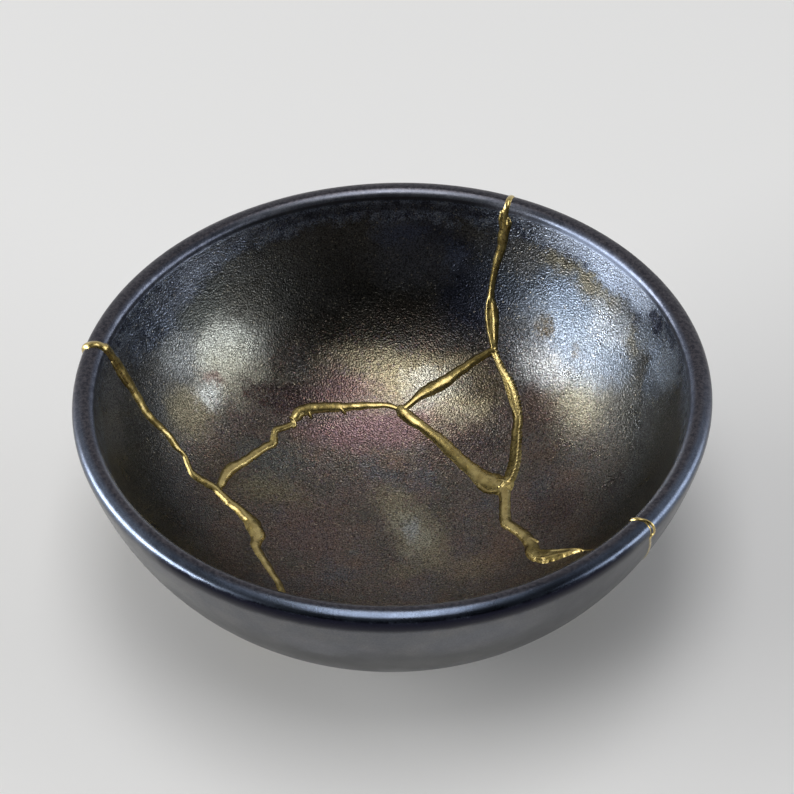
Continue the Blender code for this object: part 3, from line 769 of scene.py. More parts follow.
class Nodes:
    """Short ways to add nodes to a material."""

    def __init__(self, name):
        self.material = bpy.data.materials.new(name)
        self.material.use_nodes = True
        self.tree = self.material.node_tree
        self.shader = self.tree.nodes["Principled BSDF"]

    def add(self, kind, **settings):
        node = self.tree.nodes.new(kind)
        for key, value in settings.items():
            setattr(node, key, value)
        return node

    def join(self, source, target):
        self.tree.links.new(source, target)

    def feed(self, socket, value):
        if isinstance(value, bpy.types.NodeSocket):
            self.join(value, socket)
        else:
            socket.default_value = value

    def math(self, operation, one, two=0.0, three=0.0, clamp=False):
        node = self.add("ShaderNodeMath", operation=operation, use_clamp=clamp)
        for socket, value in zip(node.inputs, (one, two, three)):
            self.feed(socket, value)
        return node.outputs[0]

    def vector(self, operation, one, two=(0, 0, 0), scale=None):
        node = self.add("ShaderNodeVectorMath", operation=operation)
        self.feed(node.inputs[0], one)
        if scale is not None:
            self.feed(node.inputs["Scale"], scale)
        else:
            self.feed(node.inputs[1], two)
        return node.outputs["Value" if operation in ("LENGTH", "DISTANCE", "DOT_PRODUCT") else "Vector"]

    def noise(self, at, scale, detail=2.0, rough=0.5, distortion=0.0, colour=False):
        node = self.add("ShaderNodeTexNoise", noise_dimensions="3D")
        self.feed(node.inputs["Vector"], at)
        node.inputs["Scale"].default_value = scale
        node.inputs["Detail"].default_value = detail
        node.inputs["Roughness"].default_value = rough
        node.inputs["Distortion"].default_value = distortion
        return node.outputs["Color" if colour else 0]

    def grains(self, at, scale, feature="F1", output="Distance", randomness=1.0):
        node = self.add("ShaderNodeTexVoronoi", feature=feature)
        self.feed(node.inputs["Vector"], at)
        node.inputs["Scale"].default_value = scale
        node.inputs["Randomness"].default_value = randomness
        return node.outputs[output]

    def ramp(self, value, low, high, to_low=0.0, to_high=1.0, smooth=True):
        node = self.add("ShaderNodeMapRange", interpolation_type="SMOOTHSTEP" if smooth else "LINEAR", clamp=True)
        for socket, v in zip(node.inputs, (value, low, high, to_low, to_high)):
            self.feed(socket, v)
        return node.outputs[0]

    def mix(self, factor, one, two, blend="MIX"):
        node = self.add("ShaderNodeMix", data_type="RGBA", blend_type=blend, clamp_factor=True)
        self.feed(node.inputs["Factor"], factor)
        for socket, value in zip((node.inputs[6], node.inputs[7]), (one, two)):
            self.feed(socket, value if isinstance(value, bpy.types.NodeSocket) else (*value, 1.0))
        return node.outputs[2]

    def bump(self, height, distance, strength=1.0, normal=None):
        node = self.add("ShaderNodeBump")
        node.inputs["Strength"].default_value = strength
        node.inputs["Distance"].default_value = distance
        self.join(height, node.inputs["Height"])
        if normal is not None:
            self.join(normal, node.inputs["Normal"])
        return node.outputs[0]


# The colours the lustre fired to, dark to pale.
NAVY, STEEL_DARK, STEEL = (0.045, 0.055, 0.095), (0.094, 0.112, 0.144), (0.202, 0.248, 0.322)
LAVENDER, SKY, ICE = (0.160, 0.195, 0.300), (0.200, 0.250, 0.340), (0.380, 0.405, 0.420)
SOOT, BROWN, PLUM_DARK = (0.080, 0.077, 0.070), (0.158, 0.130, 0.116), (0.072, 0.052, 0.052)
PLUM, MAGENTA, RUST = (0.170, 0.112, 0.100), (0.205, 0.128, 0.135), (0.195, 0.137, 0.105)
OLIVE, GOLDEN, PALE = (0.220, 0.196, 0.128), (0.375, 0.325, 0.205), (0.430, 0.430, 0.375)
LUSTRE_BLUE, FROST = (0.250, 0.310, 0.430), (0.520, 0.545, 0.530)
OLIVE_PALE = (0.270, 0.240, 0.165)
GREY_GREEN, ASH, UMBER, SLATE = (0.140, 0.148, 0.138), (0.130, 0.129, 0.122), (0.124, 0.114, 0.098), (0.118, 0.126, 0.140)

# Patches of lustre, and a few of painted highlight and painted shade about the middle highlight, laid one over
# another: middle (mm), reach along x, y and z, edge softness (share of the reach), strength, colour.
PATCHES = [
    # the walls, from the left round the back to the right
    ((-55, 5, 34), (14, 34, 16), 0.45, 0.75, (0.128, 0.130, 0.131)),
    ((-50, -8, 30), (15, 26, 15), 0.50, 0.80, (0.112, 0.121, 0.130)),
    ((-50, 7, 27), (7, 9, 9), 0.50, 0.55, SOOT),
    ((-58, 4, 41), (4, 9, 6), 0.60, 0.95, (0.250, 0.272, 0.305)),
    ((-57, 8, 44), (5, 10, 3), 0.60, 0.70, (0.170, 0.185, 0.215)),
    ((-47, 32, 43), (14, 14, 9), 0.35, 0.80, (0.090, 0.110, 0.150)),
    ((-41, 39, 37), (8, 7, 5), 0.60, 0.85, GREY_GREEN),
    ((-42, 42, 46), (7, 6, 3), 0.60, 0.80, LAVENDER),
    ((-30, 44, 30), (12, 7, 8), 0.45, 0.22, SOOT),
    ((-36, 36, 26.5), (7.5, 7.5, 6.5), 0.65, 0.98, (0.500, 0.515, 0.470)),
    ((-34, 32, 22), (11, 6, 6), 0.55, 0.70, (0.385, 0.375, 0.290)),
    ((-43, 20, 23), (7, 6, 5), 0.60, 0.75, OLIVE),
    ((-8, 56, 38), (22, 6, 16), 0.45, 0.40, SOOT),
    ((-6, 50, 25), (22, 8, 6), 0.45, 0.65, SOOT),
    # painted shade: darker above the middle highlight
    ((-10, 47, 22.5), (19, 6, 4.5), 0.50, 0.80, (0.060, 0.056, 0.048)),
    ((3, 52, 29), (12, 6, 6), 0.50, 0.50, (0.064, 0.060, 0.050)),
    ((6, 49, 25), (14, 5, 3), 0.60, 0.55, (0.062, 0.054, 0.046)),
    ((20, 49, 29), (9, 7, 9), 0.50, 0.75, NAVY),
    ((10, 56, 38), (10, 6, 7), 0.30, 0.65, NAVY),
    ((3, 57, 41), (5, 3, 4), 0.60, 0.55, LAVENDER),
    ((15, 55, 36), (2.2, 3, 5), 0.60, 0.70, LAVENDER),
    ((30, 48, 40), (11, 10, 13), 0.45, 0.90, STEEL_DARK),
    ((43, 34, 33), (14, 15, 12), 0.45, 0.95, STEEL),
    ((31, 50, 45), (5, 4, 3), 0.60, 0.60, OLIVE),
    ((37, 45, 42), (6, 6, 3.4), 0.75, 0.74, OLIVE),
    ((43, 39, 40.5), (5.5, 6, 3.2), 0.75, 0.78, OLIVE),
    ((48.2, 33.0, 41.0), (3.0, 4.5, 3.2), 0.75, 0.76, OLIVE),
    ((51.5, 25.5, 38.5), (2.6, 3.6, 3.6), 0.75, 0.68, OLIVE),
    ((48.0, 30.2, 37.0), (4.6, 5.5, 5), 0.60, 0.85, (0.400, 0.440, 0.500)),
    ((47, 39, 45.8), (10, 11, 2.8), 0.50, 0.85, LUSTRE_BLUE),
    ((54.5, 28, 45.6), (5, 9, 2.6), 0.50, 0.80, LUSTRE_BLUE),
    ((42, 30, 28), (9, 7, 5), 0.70, 0.24, ICE),
    ((41, 22, 21), (9, 8, 5), 0.60, 0.58, (0.415, 0.400, 0.290)),
    ((43, 27, 26.5), (7, 7, 5), 0.50, 0.48, (0.185, 0.218, 0.270)),
    ((37, 42, 36.5), (4.5, 4.5, 4), 0.60, 0.55, (0.165, 0.205, 0.275)),
    ((32.9, 40, 28), (2.7, 2.7, 2.4), 0.70, 0.82, (0.108, 0.094, 0.070)),
    ((33.1, 39.8, 27.8), (1.5, 1.5, 1.3), 0.80, 0.95, (0.080, 0.062, 0.040)),
    ((39.2, 33, 27.5), (1.7, 1.7, 1.5), 0.60, 0.85, UMBER),
    ((54.5, 25.5, 43.5), (3.5, 4.5, 3.2), 0.40, 0.85, NAVY),
    ((55.5, 18.5, 40.5), (2.6, 3.8, 3.0), 0.50, 0.95, LUSTRE_BLUE),
    ((55, 11, 36.5), (3.2, 5.2, 4.4), 0.50, 0.90, SKY),
    ((52, -6, 30), (13, 20, 15), 0.45, 0.80, (0.122, 0.131, 0.140)),
    ((28, 38, 23), (5, 5, 5), 0.60, 0.55, STEEL_DARK),
    ((32.5, 33, 21.8), (5.4, 5.6, 4.2), 0.60, 0.92, (0.440, 0.458, 0.470)),
    ((48, 12, 24.5), (8, 10, 5), 0.60, 0.72, (0.098, 0.098, 0.090)),
    ((-57.5, 3, 40), (4, 9, 8), 0.60, 0.88, (0.235, 0.240, 0.250)),
    ((-46, 29.5, 32.5), (5.5, 6, 4.4), 0.60, 0.80, (0.300, 0.318, 0.325)),
    ((-29, 44, 33), (7, 5, 7), 0.60, 0.50, (0.175, 0.176, 0.158)),
    ((-37, 9, 16), (8, 7, 5), 0.60, 0.55, (0.078, 0.064, 0.046)),
    ((6, 55, 34), (8.5, 5, 6), 0.60, 0.80, (0.150, 0.155, 0.172)),
    ((-33, 47, 42), (6, 5, 4), 0.60, 0.70, (0.180, 0.188, 0.185)),
    ((-20, 52, 36.5), (7, 4, 7), 0.60, 0.50, (0.140, 0.140, 0.132)),
    ((27.5, 49.5, 40.5), (4.5, 4, 5), 0.60, 0.55, (0.168, 0.160, 0.146)),
    ((31.5, 25, 17.5), (4, 6, 4), 0.60, 0.50, (0.135, 0.082, 0.066)),
    # the middle of the bowl
    ((0, 40, 17.5), (17, 4.5, 3.6), 0.55, 0.85, OLIVE),
    ((10, 35, 15), (15, 6.5, 5), 0.50, 0.88, GOLDEN),
    ((13, 30, 12.5), (9, 5, 4), 0.60, 0.80, GOLDEN),
    ((12, 35.4, 15.2), (7.0, 4.4, 2.8), 0.70, 0.95, PALE),
    ((14.5, 31.5, 13.2), (5, 4.5, 2.6), 0.60, 0.70, GOLDEN),
    ((-27, 32, 17), (12, 4, 4.5), 0.45, 0.95, PLUM_DARK),
    ((-38, 29.8, 24.8), (7, 1.8, 2.4), 0.60, 0.80, PLUM),
    ((-40.2, 25.6, 23.2), (3.4, 2.8, 3.0), 0.80, 0.85, FROST),
    ((-10, 35, 14.8), (8, 3.2, 2.6), 0.50, 0.85, PLUM),
    ((-4, 27, 11), (18, 5.0, 4), 0.55, 0.85, MAGENTA),
    ((12, 25, 11), (6, 3.0, 3), 0.55, 0.70, RUST),
    # painted highlight: the next three lighten the glaze below and around the middle highlight
    ((14, 27.2, 12), (4.2, 3.4, 2.4), 0.60, 0.80, (0.400, 0.365, 0.265)),
    ((8, 32.6, 13.3), (5, 3.6, 2.6), 0.60, 0.80, PALE),
    ((8.4, 35.8, 15.0), (4.6, 3.8, 2.6), 0.60, 0.60, (0.540, 0.520, 0.430)),
    # painted shade: the next four darken the glaze above and beside the middle highlight
    ((-7, 44.2, 20.7), (13, 3.6, 2.8), 0.55, 0.70, (0.040, 0.039, 0.032)),
    ((11.5, 42, 19.6), (6, 4, 3), 0.60, 0.45, (0.066, 0.054, 0.042)),
    ((18.5, 34, 16.4), (5, 4.5, 3), 0.60, 0.68, (0.086, 0.066, 0.044)),
    ((-14, 36.5, 16.2), (6.5, 3.6, 3), 0.60, 0.60, (0.078, 0.050, 0.056)),
    ((-27, 16, 12.5), (8, 5, 4), 0.55, 0.80, GREY_GREEN),
    ((-27, 8, 11.5), (8, 4, 4), 0.60, 0.75, OLIVE),
    ((15, 21, 10.5), (8, 6, 3), 0.60, 0.55, PLUM_DARK),
    ((-20, -2, 9), (9, 8, 5), 0.60, 0.45, PLUM),
    ((0.5, 7, 7.4), (4.8, 5.6, 3), 0.60, 0.85, OLIVE_PALE),
    ((4.5, -2, 7.4), (5.4, 6.6, 3), 0.60, 0.92, OLIVE_PALE),
    ((9.0, -8.6, 7.8), (3.6, 4.8, 3), 0.60, 0.88, OLIVE_PALE),
    ((2.2, 2, 7.4), (2.8, 4.2, 2.4), 0.70, 0.75, (0.330, 0.320, 0.240)),
    ((5.2, -4.0, 7.4), (2.8, 4.0, 2.4), 0.70, 0.75, (0.350, 0.345, 0.270)),
    ((3.6, -0.6, 7.4), (1.8, 3.2, 2), 0.80, 0.60, ICE),
    ((17.5, -14, 9.7), (6.4, 4.0, 3), 0.60, 0.80, (0.240, 0.195, 0.135)),
    ((24, -9, 10.5), (4, 7, 4), 0.60, 0.70, RUST),
    ((3, -13, 8), (5, 2.5, 3), 0.60, 0.60, OLIVE),
    ((33, -3, 13), (5, 6, 4), 0.60, 0.50, PLUM_DARK),
    ((44, 3, 20), (6, 8, 6), 0.60, 0.60, UMBER),
]

# Patches over the curdled band under the rim.
RIM_PATCHES = [
    ((-58.4, 4, 42), (4, 12, 6), 0.50, 0.72, (0.265, 0.275, 0.300)),
    ((-46, 36, 44), (8, 9, 4.4), 0.40, 0.45, (0.250, 0.280, 0.345)),
    ((-40, 44, 46.4), (9, 7, 3.8), 0.50, 0.62, (0.350, 0.390, 0.470)),
    ((-32, 50.5, 47.2), (6, 4, 3.0), 0.50, 0.50, (0.260, 0.285, 0.345)),
    ((30, 51, 47.6), (5, 4, 2.4), 0.50, 0.55, (0.270, 0.300, 0.370)),
    # the next three: blue lustre, painted paler as a reflection of the lamps
    ((37, 47, 47.4), (9, 7, 3.4), 0.50, 0.80, (0.400, 0.455, 0.575)),
    ((47.0, 37, 47.2), (7, 9, 3.6), 0.50, 0.90, (0.450, 0.520, 0.665)),
    ((53.2, 27.4, 46.4), (3.6, 5.6, 3.6), 0.50, 0.86, (0.420, 0.485, 0.610)),
    ((56.6, 11.5, 41.2), (3.4, 6.6, 5.6), 0.50, 0.85, (0.360, 0.425, 0.530)),
    ((53.8, 22.0, 41.0), (2.8, 3.6, 2.6), 0.50, 0.75, (0.330, 0.390, 0.490)),
    ((55.2, 21.6, 45.0), (2.3, 3.4, 2.3), 0.35, 0.90, (0.045, 0.050, 0.082)),
    ((57.4, 15.0, 46.4), (2.0, 3.6, 1.8), 0.40, 0.80, NAVY),
]

OUTSIDE_PATCHES = [
    # painted shade: the right front of the belly, where it reflects the bowl's shadow on the floor
    ((40, -44, 36), (21, 19, 14), 0.45, 0.78, (0.058, 0.061, 0.068)),
    ((10, -56, 31), (13, 6, 4), 0.60, 0.50, (0.078, 0.080, 0.076)),
    ((-14, -58, 38), (8, 6, 3), 0.60, 0.45, (0.150, 0.158, 0.182)),
    ((14, -60, 41), (14, 6, 4), 0.60, 0.35, (0.150, 0.158, 0.182)),
    ((30, 50, 30), (20, 16, 10), 0.50, 0.50, (0.170, 0.172, 0.182)),
    ((-36, 44, 22), (22, 18, 9), 0.50, 0.45, (0.140, 0.128, 0.112)),
    ((-58, -8, 24), (8, 22, 8), 0.55, 0.45, (0.090, 0.092, 0.106)),
    ((56, 8, 38), (8, 24, 8), 0.55, 0.40, (0.160, 0.168, 0.190)),
]


def glaze_material():
    n = Nodes("lustre_glaze")
    coord = n.add("ShaderNodeTexCoord").outputs["Object"]
    at = n.vector("SCALE", coord, scale=1000.0)
    run = n.add("ShaderNodeAttribute", attribute_name="wall_run").outputs["Fac"]
    height = n.add("ShaderNodeSeparateXYZ")
    n.join(at, height.inputs[0])

    def centred(scale, detail, rough, size):
        return n.vector("SCALE", n.vector("SUBTRACT", n.noise(at, scale, detail, rough, colour=True), (0.5, 0.5, 0.5)), scale=size)

    # where a patch ends is drawn by slow drifts, by the lustre's mottling and by single grains
    grain_pick = n.grains(at, 3.6, output="Color")
    pick = n.add("ShaderNodeSeparateColor")
    n.join(grain_pick, pick.inputs[0])
    jitter = n.vector("SCALE", n.vector("SUBTRACT", grain_pick, (0.5, 0.5, 0.5)), scale=1.4)
    loose = n.vector("ADD", n.vector("ADD", at, centred(0.075, 2.0, 0.5, 9.0)), n.vector("ADD", centred(0.40, 4.0, 0.62, 6.0), jitter))
    speckled = n.vector("ADD", at, n.vector("SCALE", jitter, scale=0.9))

    cloud = n.noise(speckled, 0.11, 5.0, 0.62)
    wall = n.mix(n.ramp(cloud, 0.36, 0.66), SOOT, ASH)
    floor = n.mix(n.ramp(n.noise(speckled, 0.13, 5.0, 0.6), 0.36, 0.62), UMBER, BROWN)
    floor = n.mix(n.ramp(n.noise(speckled, 0.17, 5.0, 0.66, 0.4), 0.48, 0.68, 0.0, 0.70), floor, RUST)
    floor = n.mix(n.ramp(cloud, 0.50, 0.68, 0.0, 0.65), floor, SLATE)
    colour = n.mix(n.ramp(height.outputs[2], 14.0, 27.0), floor, wall)
    blotch = n.noise(speckled, 0.21, 4.0, 0.6)
    colour = n.mix(n.ramp(blotch, 0.56, 0.70, 0.0, 0.6), colour, GREY_GREEN)
    for centre, reach, soft, strength, tint in PATCHES:
        apart = n.vector("MULTIPLY", n.vector("SUBTRACT", loose, centre), tuple(1.0 / v for v in reach))
        mask = n.ramp(n.vector("LENGTH", apart), 1.0 + soft, 1.0 - soft, 0.0, strength)
        colour = n.mix(mask, colour, tint)

    # on the floor single flecks fired gold or violet
    low = n.ramp(height.outputs[2], 27.0, 19.0)
    colour = n.mix(n.math("MULTIPLY", low, n.ramp(n.noise(at, 1.7, 3.0, 0.7), 0.56, 0.68, 0.0, 0.42)), colour, (0.300, 0.240, 0.140))
    shifted = n.vector("ADD", at, (31.0, 17.0, 5.0))
    colour = n.mix(n.math("MULTIPLY", low, n.ramp(n.noise(shifted, 1.2, 3.0, 0.7), 0.54, 0.66, 0.0, 0.40)), colour, (0.112, 0.084, 0.134))

    # under the rim the lustre broke into navy and pale blue
    curd = n.noise(speckled, 0.26, 5.0, 0.66)
    rim = n.math("MULTIPLY", n.ramp(n.math("ADD", run, n.math("MULTIPLY", curd, 13.0)), -2.6, 0.4), n.ramp(run, -2.6, -3.6))
    apart = n.vector("MULTIPLY", n.vector("SUBTRACT", loose, (-50.0, 29.0, 44.0)), (0.1, 0.077, 0.145))
    rim = n.math("MAXIMUM", rim, n.math("MULTIPLY", n.ramp(n.vector("LENGTH", apart), 1.4, 0.6, 0.0, 0.9), n.ramp(curd, 0.40, 0.50)))
    broken = n.noise(speckled, 0.62, 4.0, 0.62, 0.5)
    veins = n.mix(n.ramp(broken, 0.42, 0.54), (0.050, 0.060, 0.100), (0.265, 0.315, 0.415))
    veins = n.mix(n.ramp(broken, 0.56, 0.68), veins, (0.450, 0.500, 0.570))
    colour = n.mix(n.math("MULTIPLY", rim, 0.88), colour, veins)
    for centre, reach, soft, strength, tint in RIM_PATCHES:
        apart = n.vector("MULTIPLY", n.vector("SUBTRACT", loose, centre), tuple(1.0 / v for v in reach))
        colour = n.mix(n.ramp(n.vector("LENGTH", apart), 1.0 + soft, 1.0 - soft, 0.0, strength), colour, tint)
    # painted shade: a dark line a few millimetres under the rim inside, fading out towards the right
    painted_groove_shade = n.math("MULTIPLY", n.ramp(run, -6.6, -5.2), n.ramp(run, -3.4, -4.4))
    painted_groove_shade = n.math("MULTIPLY", painted_groove_shade, n.ramp(height.outputs[0], 30.0, 14.0))
    colour = n.mix(n.math("MULTIPLY", painted_groove_shade, n.ramp(height.outputs[0], -34.0, -16.0, 0.15, 0.72)), colour, (0.042, 0.044, 0.054))

    # outside: ash grey on the belly, with painted shade towards the foot and on the right front, where the belly
    # reflects the shaded floor
    sides = height.outputs[1]
    outside = n.ramp(run, 0.6, 2.2)
    lip_mask = n.math("MULTIPLY", n.ramp(run, -4.0, -3.0), n.ramp(run, 5.4, 3.4), clamp=True)
    belly_mottle_and_shade_edge = n.noise(at, 0.16, 5.0, 0.6)
    belly = n.mix(n.ramp(belly_mottle_and_shade_edge, 0.35, 0.68), (0.112, 0.117, 0.130), (0.148, 0.148, 0.150))
    # painted shade: the belly darkened towards the foot, where it reflects the shaded floor under the bowl
    belly = n.mix(n.ramp(n.math("ADD", height.outputs[2], n.math("MULTIPLY", belly_mottle_and_shade_edge, 6.0)), 43.5, 35.5, 0.0, 0.80), belly, (0.052, 0.054, 0.059))
    belly = n.mix(n.ramp(height.outputs[2], 36.0, 27.0, 0.0, 0.80), belly, (0.022, 0.023, 0.026))
    for centre, reach, soft, strength, tint in OUTSIDE_PATCHES:
        apart = n.vector("MULTIPLY", n.vector("SUBTRACT", loose, centre), tuple(1.0 / v for v in reach))
        belly = n.mix(n.ramp(n.vector("LENGTH", apart), 1.0 + soft, 1.0 - soft, 0.0, strength), belly, tint)
    colour = n.mix(outside, colour, belly)

    # the lip: blue-grey inside, painted paler at the front and back as highlight; brown-grey on the crest; blue on the
    # bevel, painted lighter on its front flanks as highlight; painted sheen and painted shade at the front
    front = n.ramp(sides, 8.0, -34.0)
    crest = n.mix(n.ramp(n.noise(at, 1.3, 3.0, 0.7), 0.38, 0.62), (0.050, 0.049, 0.060), (0.100, 0.094, 0.106))
    bevel = n.mix(n.ramp(n.noise(loose, 0.35, 4.0, 0.6), 0.40, 0.60), (0.074, 0.093, 0.138), (0.108, 0.134, 0.194))
    # painted highlight: the bevel lighter on its front left and front right flanks, where the side lamps catch it
    painted_flank_highlight = n.math("MAXIMUM", n.ramp(height.outputs[0], -24.0, -38.0), n.ramp(height.outputs[0], 32.0, 42.0, 0.0, 0.6))
    bevel = n.mix(n.math("MULTIPLY", painted_flank_highlight, 0.8), bevel, n.mix(n.ramp(broken, 0.40, 0.60), (0.118, 0.145, 0.205), (0.185, 0.222, 0.290)))
    bevel = n.mix(n.math("MULTIPLY", n.ramp(height.outputs[0], 8.0, 20.0), n.ramp(height.outputs[0], 36.0, 28.0)), bevel, (0.058, 0.072, 0.102))
    bevel = n.mix(n.math("MULTIPLY", n.ramp(height.outputs[0], -10.0, -16.0, 0.0, 0.45), n.ramp(height.outputs[0], -34.0, -26.0)), bevel, (0.050, 0.062, 0.088))
    rolled = n.mix(n.math("MULTIPLY", n.ramp(run, 0.2, 1.4), front), crest, bevel)
    milky_and_painted_streak = n.mix(n.ramp(broken, 0.40, 0.60), (0.068, 0.076, 0.106), (0.138, 0.154, 0.200))
    # painted highlight: the inner edge of the lip paler at the front and at the back, where the top lamp's streak lies
    milky_and_painted_streak = n.mix(n.ramp(front, 0.5, 1.0), milky_and_painted_streak, (0.230, 0.235, 0.265))
    milky_and_painted_streak = n.mix(n.ramp(sides, 47.0, 59.0), milky_and_painted_streak, n.mix(n.ramp(broken, 0.40, 0.60), (0.200, 0.214, 0.262), (0.300, 0.318, 0.372)))
    rolled = n.mix(n.ramp(n.math("ADD", run, n.math("MULTIPLY", broken, 0.8)), -0.1, -1.2), rolled, milky_and_painted_streak)
    # painted shade: near black just inside the lip at the back
    painted_lip_shade = n.math("MULTIPLY", n.ramp(run, -1.9, -2.7), n.math("MULTIPLY", n.ramp(sides, 44.0, 54.0), n.ramp(height.outputs[0], 30.0, 16.0)))
    rolled = n.mix(n.math("MULTIPLY", painted_lip_shade, 0.9), rolled, (0.030, 0.031, 0.038))
    # painted reflection: a pale blue haze just inside the lip on the right back, where the glaze reflects the lamps
    painted_haze_reflection = n.math("MULTIPLY", n.ramp(run, -1.3, -2.4), n.math("MULTIPLY", n.ramp(height.outputs[0], 28.0, 38.0), n.ramp(sides, 20.0, 34.0)))
    rolled = n.mix(n.math("MULTIPLY", painted_haze_reflection, 0.6), rolled, (0.360, 0.430, 0.590))
    colour = n.mix(n.math("MULTIPLY", lip_mask, n.ramp(run, 4.4, 2.8)), colour, rolled)
    # painted highlight: a faint pale blue sheen on the outer slope of the lip at the front
    painted_front_sheen = n.math("MULTIPLY", n.ramp(sides, -54.0, -60.0), n.math("MULTIPLY", n.ramp(run, 0.1, 0.8), n.ramp(run, 3.0, 2.2)))
    colour = n.mix(n.math("MULTIPLY", n.math("MULTIPLY", painted_front_sheen, n.ramp(height.outputs[0], 20.0, 4.0)), 0.4), colour, (0.165, 0.200, 0.262))
    # painted shade: near black on the outer edge of the lip and the top of the wall below it, at the front
    edge = n.math("ADD", run, n.math("MULTIPLY", n.math("SUBTRACT", n.noise(loose, 0.30, 4.0, 0.6), 0.5), 1.6))
    painted_front_lip_shade = n.math("MULTIPLY", n.ramp(edge, 2.45, 3.1), n.ramp(edge, 6.8, 4.9))
    painted_front_lip_shade = n.math("MULTIPLY", painted_front_lip_shade, n.ramp(n.math("ADD", sides, n.math("MULTIPLY", belly_mottle_and_shade_edge, 8.0)), -36.0, -46.0))
    colour = n.mix(n.math("MULTIPLY", painted_front_lip_shade, 0.97), colour, (0.010, 0.010, 0.019))

    inside = n.math("SUBTRACT", 1.0, n.math("MAXIMUM", outside, lip_mask), clamp=True)
    vary = n.math("ADD", n.ramp(pick.outputs[0], 0.0, 1.0, -0.15, 0.17, smooth=False),
                  n.ramp(n.noise(at, 3.3, 0.5, 0.5), 0.30, 0.70, -0.60, 0.56, smooth=False))
    vary = n.math("ADD", 1.0, n.math("MULTIPLY", vary, n.math("ADD", n.math("MULTIPLY", inside, 0.8), 0.2)))
    # single grains that fired red-brown or stayed bright
    red = n.math("MULTIPLY", n.ramp(pick.outputs[1], 0.84, 0.90), n.ramp(height.outputs[2], 30.0, 18.0))
    colour = n.mix(n.math("MULTIPLY", n.math("MULTIPLY", red, inside), 0.30), colour, (0.240, 0.105, 0.080))
    spark = n.math("MULTIPLY", n.math("MULTIPLY", n.ramp(pick.outputs[2], 0.965, 0.99), inside), 0.32)
    colour = n.mix(spark, colour, (0.62, 0.55, 0.40))
    grey = n.add("ShaderNodeCombineColor")
    for socket in grey.inputs[:3]:
        n.join(vary, socket)
    clay = n.mix(n.noise(at, 1.2, 4.0, 0.7), (0.22, 0.165, 0.120), (0.36, 0.285, 0.215))
    foot = n.ramp(n.math("ADD", height.outputs[2], n.math("MULTIPLY", n.noise(at, 0.30, 4.0), 0.8)), 1.15, 0.95)
    n.join(n.mix(foot, n.mix(1.0, colour, grey.outputs[0], "MULTIPLY"), clay), n.shader.inputs["Base Color"])

    leather = n.noise(at, 2.8, 0.9, 0.5)
    slow = n.math("MULTIPLY", n.noise(at, 0.35, 2.0), 0.12)
    leather = n.math("ADD", n.math("MULTIPLY", leather, n.math("ADD", n.math("MULTIPLY", inside, 0.94), 0.06)), slow)
    n.join(n.bump(leather, 0.000125, 1.0), n.shader.inputs["Normal"])
    rough = n.ramp(n.noise(at, 0.12, 3.0), 0.3, 0.7, 0.27, 0.33)
    rough = n.math("ADD", rough, n.math("MULTIPLY", lip_mask, n.ramp(front, 0.2, 0.9, 0.04, -0.03)))
    rough = n.math("ADD", rough, n.math("MULTIPLY", outside, 0.02))
    apart = n.vector("MULTIPLY", n.vector("SUBTRACT", loose, (46.0, 37.0, 47.0)), (0.083, 0.062, 0.22))
    rough = n.math("ADD", rough, n.ramp(n.vector("LENGTH", apart), 1.4, 0.6, 0.0, 0.17))
    bare = n.ramp(n.math("ADD", height.outputs[2], n.math("MULTIPLY", n.noise(at, 0.30, 4.0), 0.8)), 1.15, 0.95)
    n.join(n.mix(bare, rough, (0.85, 0.85, 0.85)), n.shader.inputs["Roughness"])
    n.join(n.math("SUBTRACT", 1.0, bare), n.shader.inputs["Metallic"])
    return n.material


def gold_material():
    n = Nodes("gold_powder_lacquer")
    coord = n.add("ShaderNodeTexCoord").outputs["Object"]
    at = n.vector("SCALE", coord, scale=1000.0)
    tone = n.noise(at, 0.5, 3.0, 0.6)
    colour = n.mix(n.ramp(tone, 0.35, 0.7), (0.42, 0.305, 0.083), (0.65, 0.505, 0.172))
    n.join(colour, n.shader.inputs["Base Color"])
    height = n.math("ADD", n.noise(at, 0.8, 2.0, 0.5), n.math("MULTIPLY", n.noise(at, 4.0, 2.0), 0.09))
    n.join(n.bump(height, 0.00006, 1.0), n.shader.inputs["Normal"])
    n.join(n.ramp(n.noise(at, 1.7, 2.0), 0.3, 0.7, 0.26, 0.36), n.shader.inputs["Roughness"])
    n.shader.inputs["Metallic"].default_value = 1.0
    n.shader.inputs["Coat Weight"].default_value = 1.0
    n.shader.inputs["Coat Roughness"].default_value = 0.23
    n.shader.inputs["Coat IOR"].default_value = 1.6
    return n.material


def floor_material():
    n = Nodes("paper_sweep")
    coord = n.add("ShaderNodeTexCoord").outputs["Object"]
    shade = n.ramp(n.noise(coord, 3.0, 2.0), 0.3, 0.7, 0.0, 1.0)
    n.join(n.mix(shade, (0.865, 0.86, 0.855), (0.885, 0.88, 0.875)), n.shader.inputs["Base Color"])
    n.shader.inputs["Roughness"].default_value = 0.9
    n.shader.inputs["Specular IOR Level"].default_value = 0.1
    return n.material


# ---- stage, light and camera -----------------------------------------------

ROOM_FRONT, ROOM_BACK, ROOM_BAND = 0.02, 0.55, 0.90


def area_light(name, azimuth, elevation, distance, size, power, colour=(1, 1, 1), aim=(0, 0, 0.04)):
    data = bpy.data.lights.new(name, "AREA")
    data.shape = "RECTANGLE"
    data.size, data.size_y = size
    data.energy, data.color = power, colour
    made = bpy.data.objects.new(name, data)
    bpy.context.scene.collection.objects.link(made)
    a, b = math.radians(azimuth), math.radians(elevation)
    away = Vector((math.cos(b) * math.cos(a), math.cos(b) * math.sin(a), math.sin(b)))
    made.location = Vector(aim) + away * distance
    made.rotation_euler = away.to_track_quat("Z", "Y").to_euler()
    return made


def radiance_power(radiance, size):
    return radiance * math.pi * size[0] * size[1]


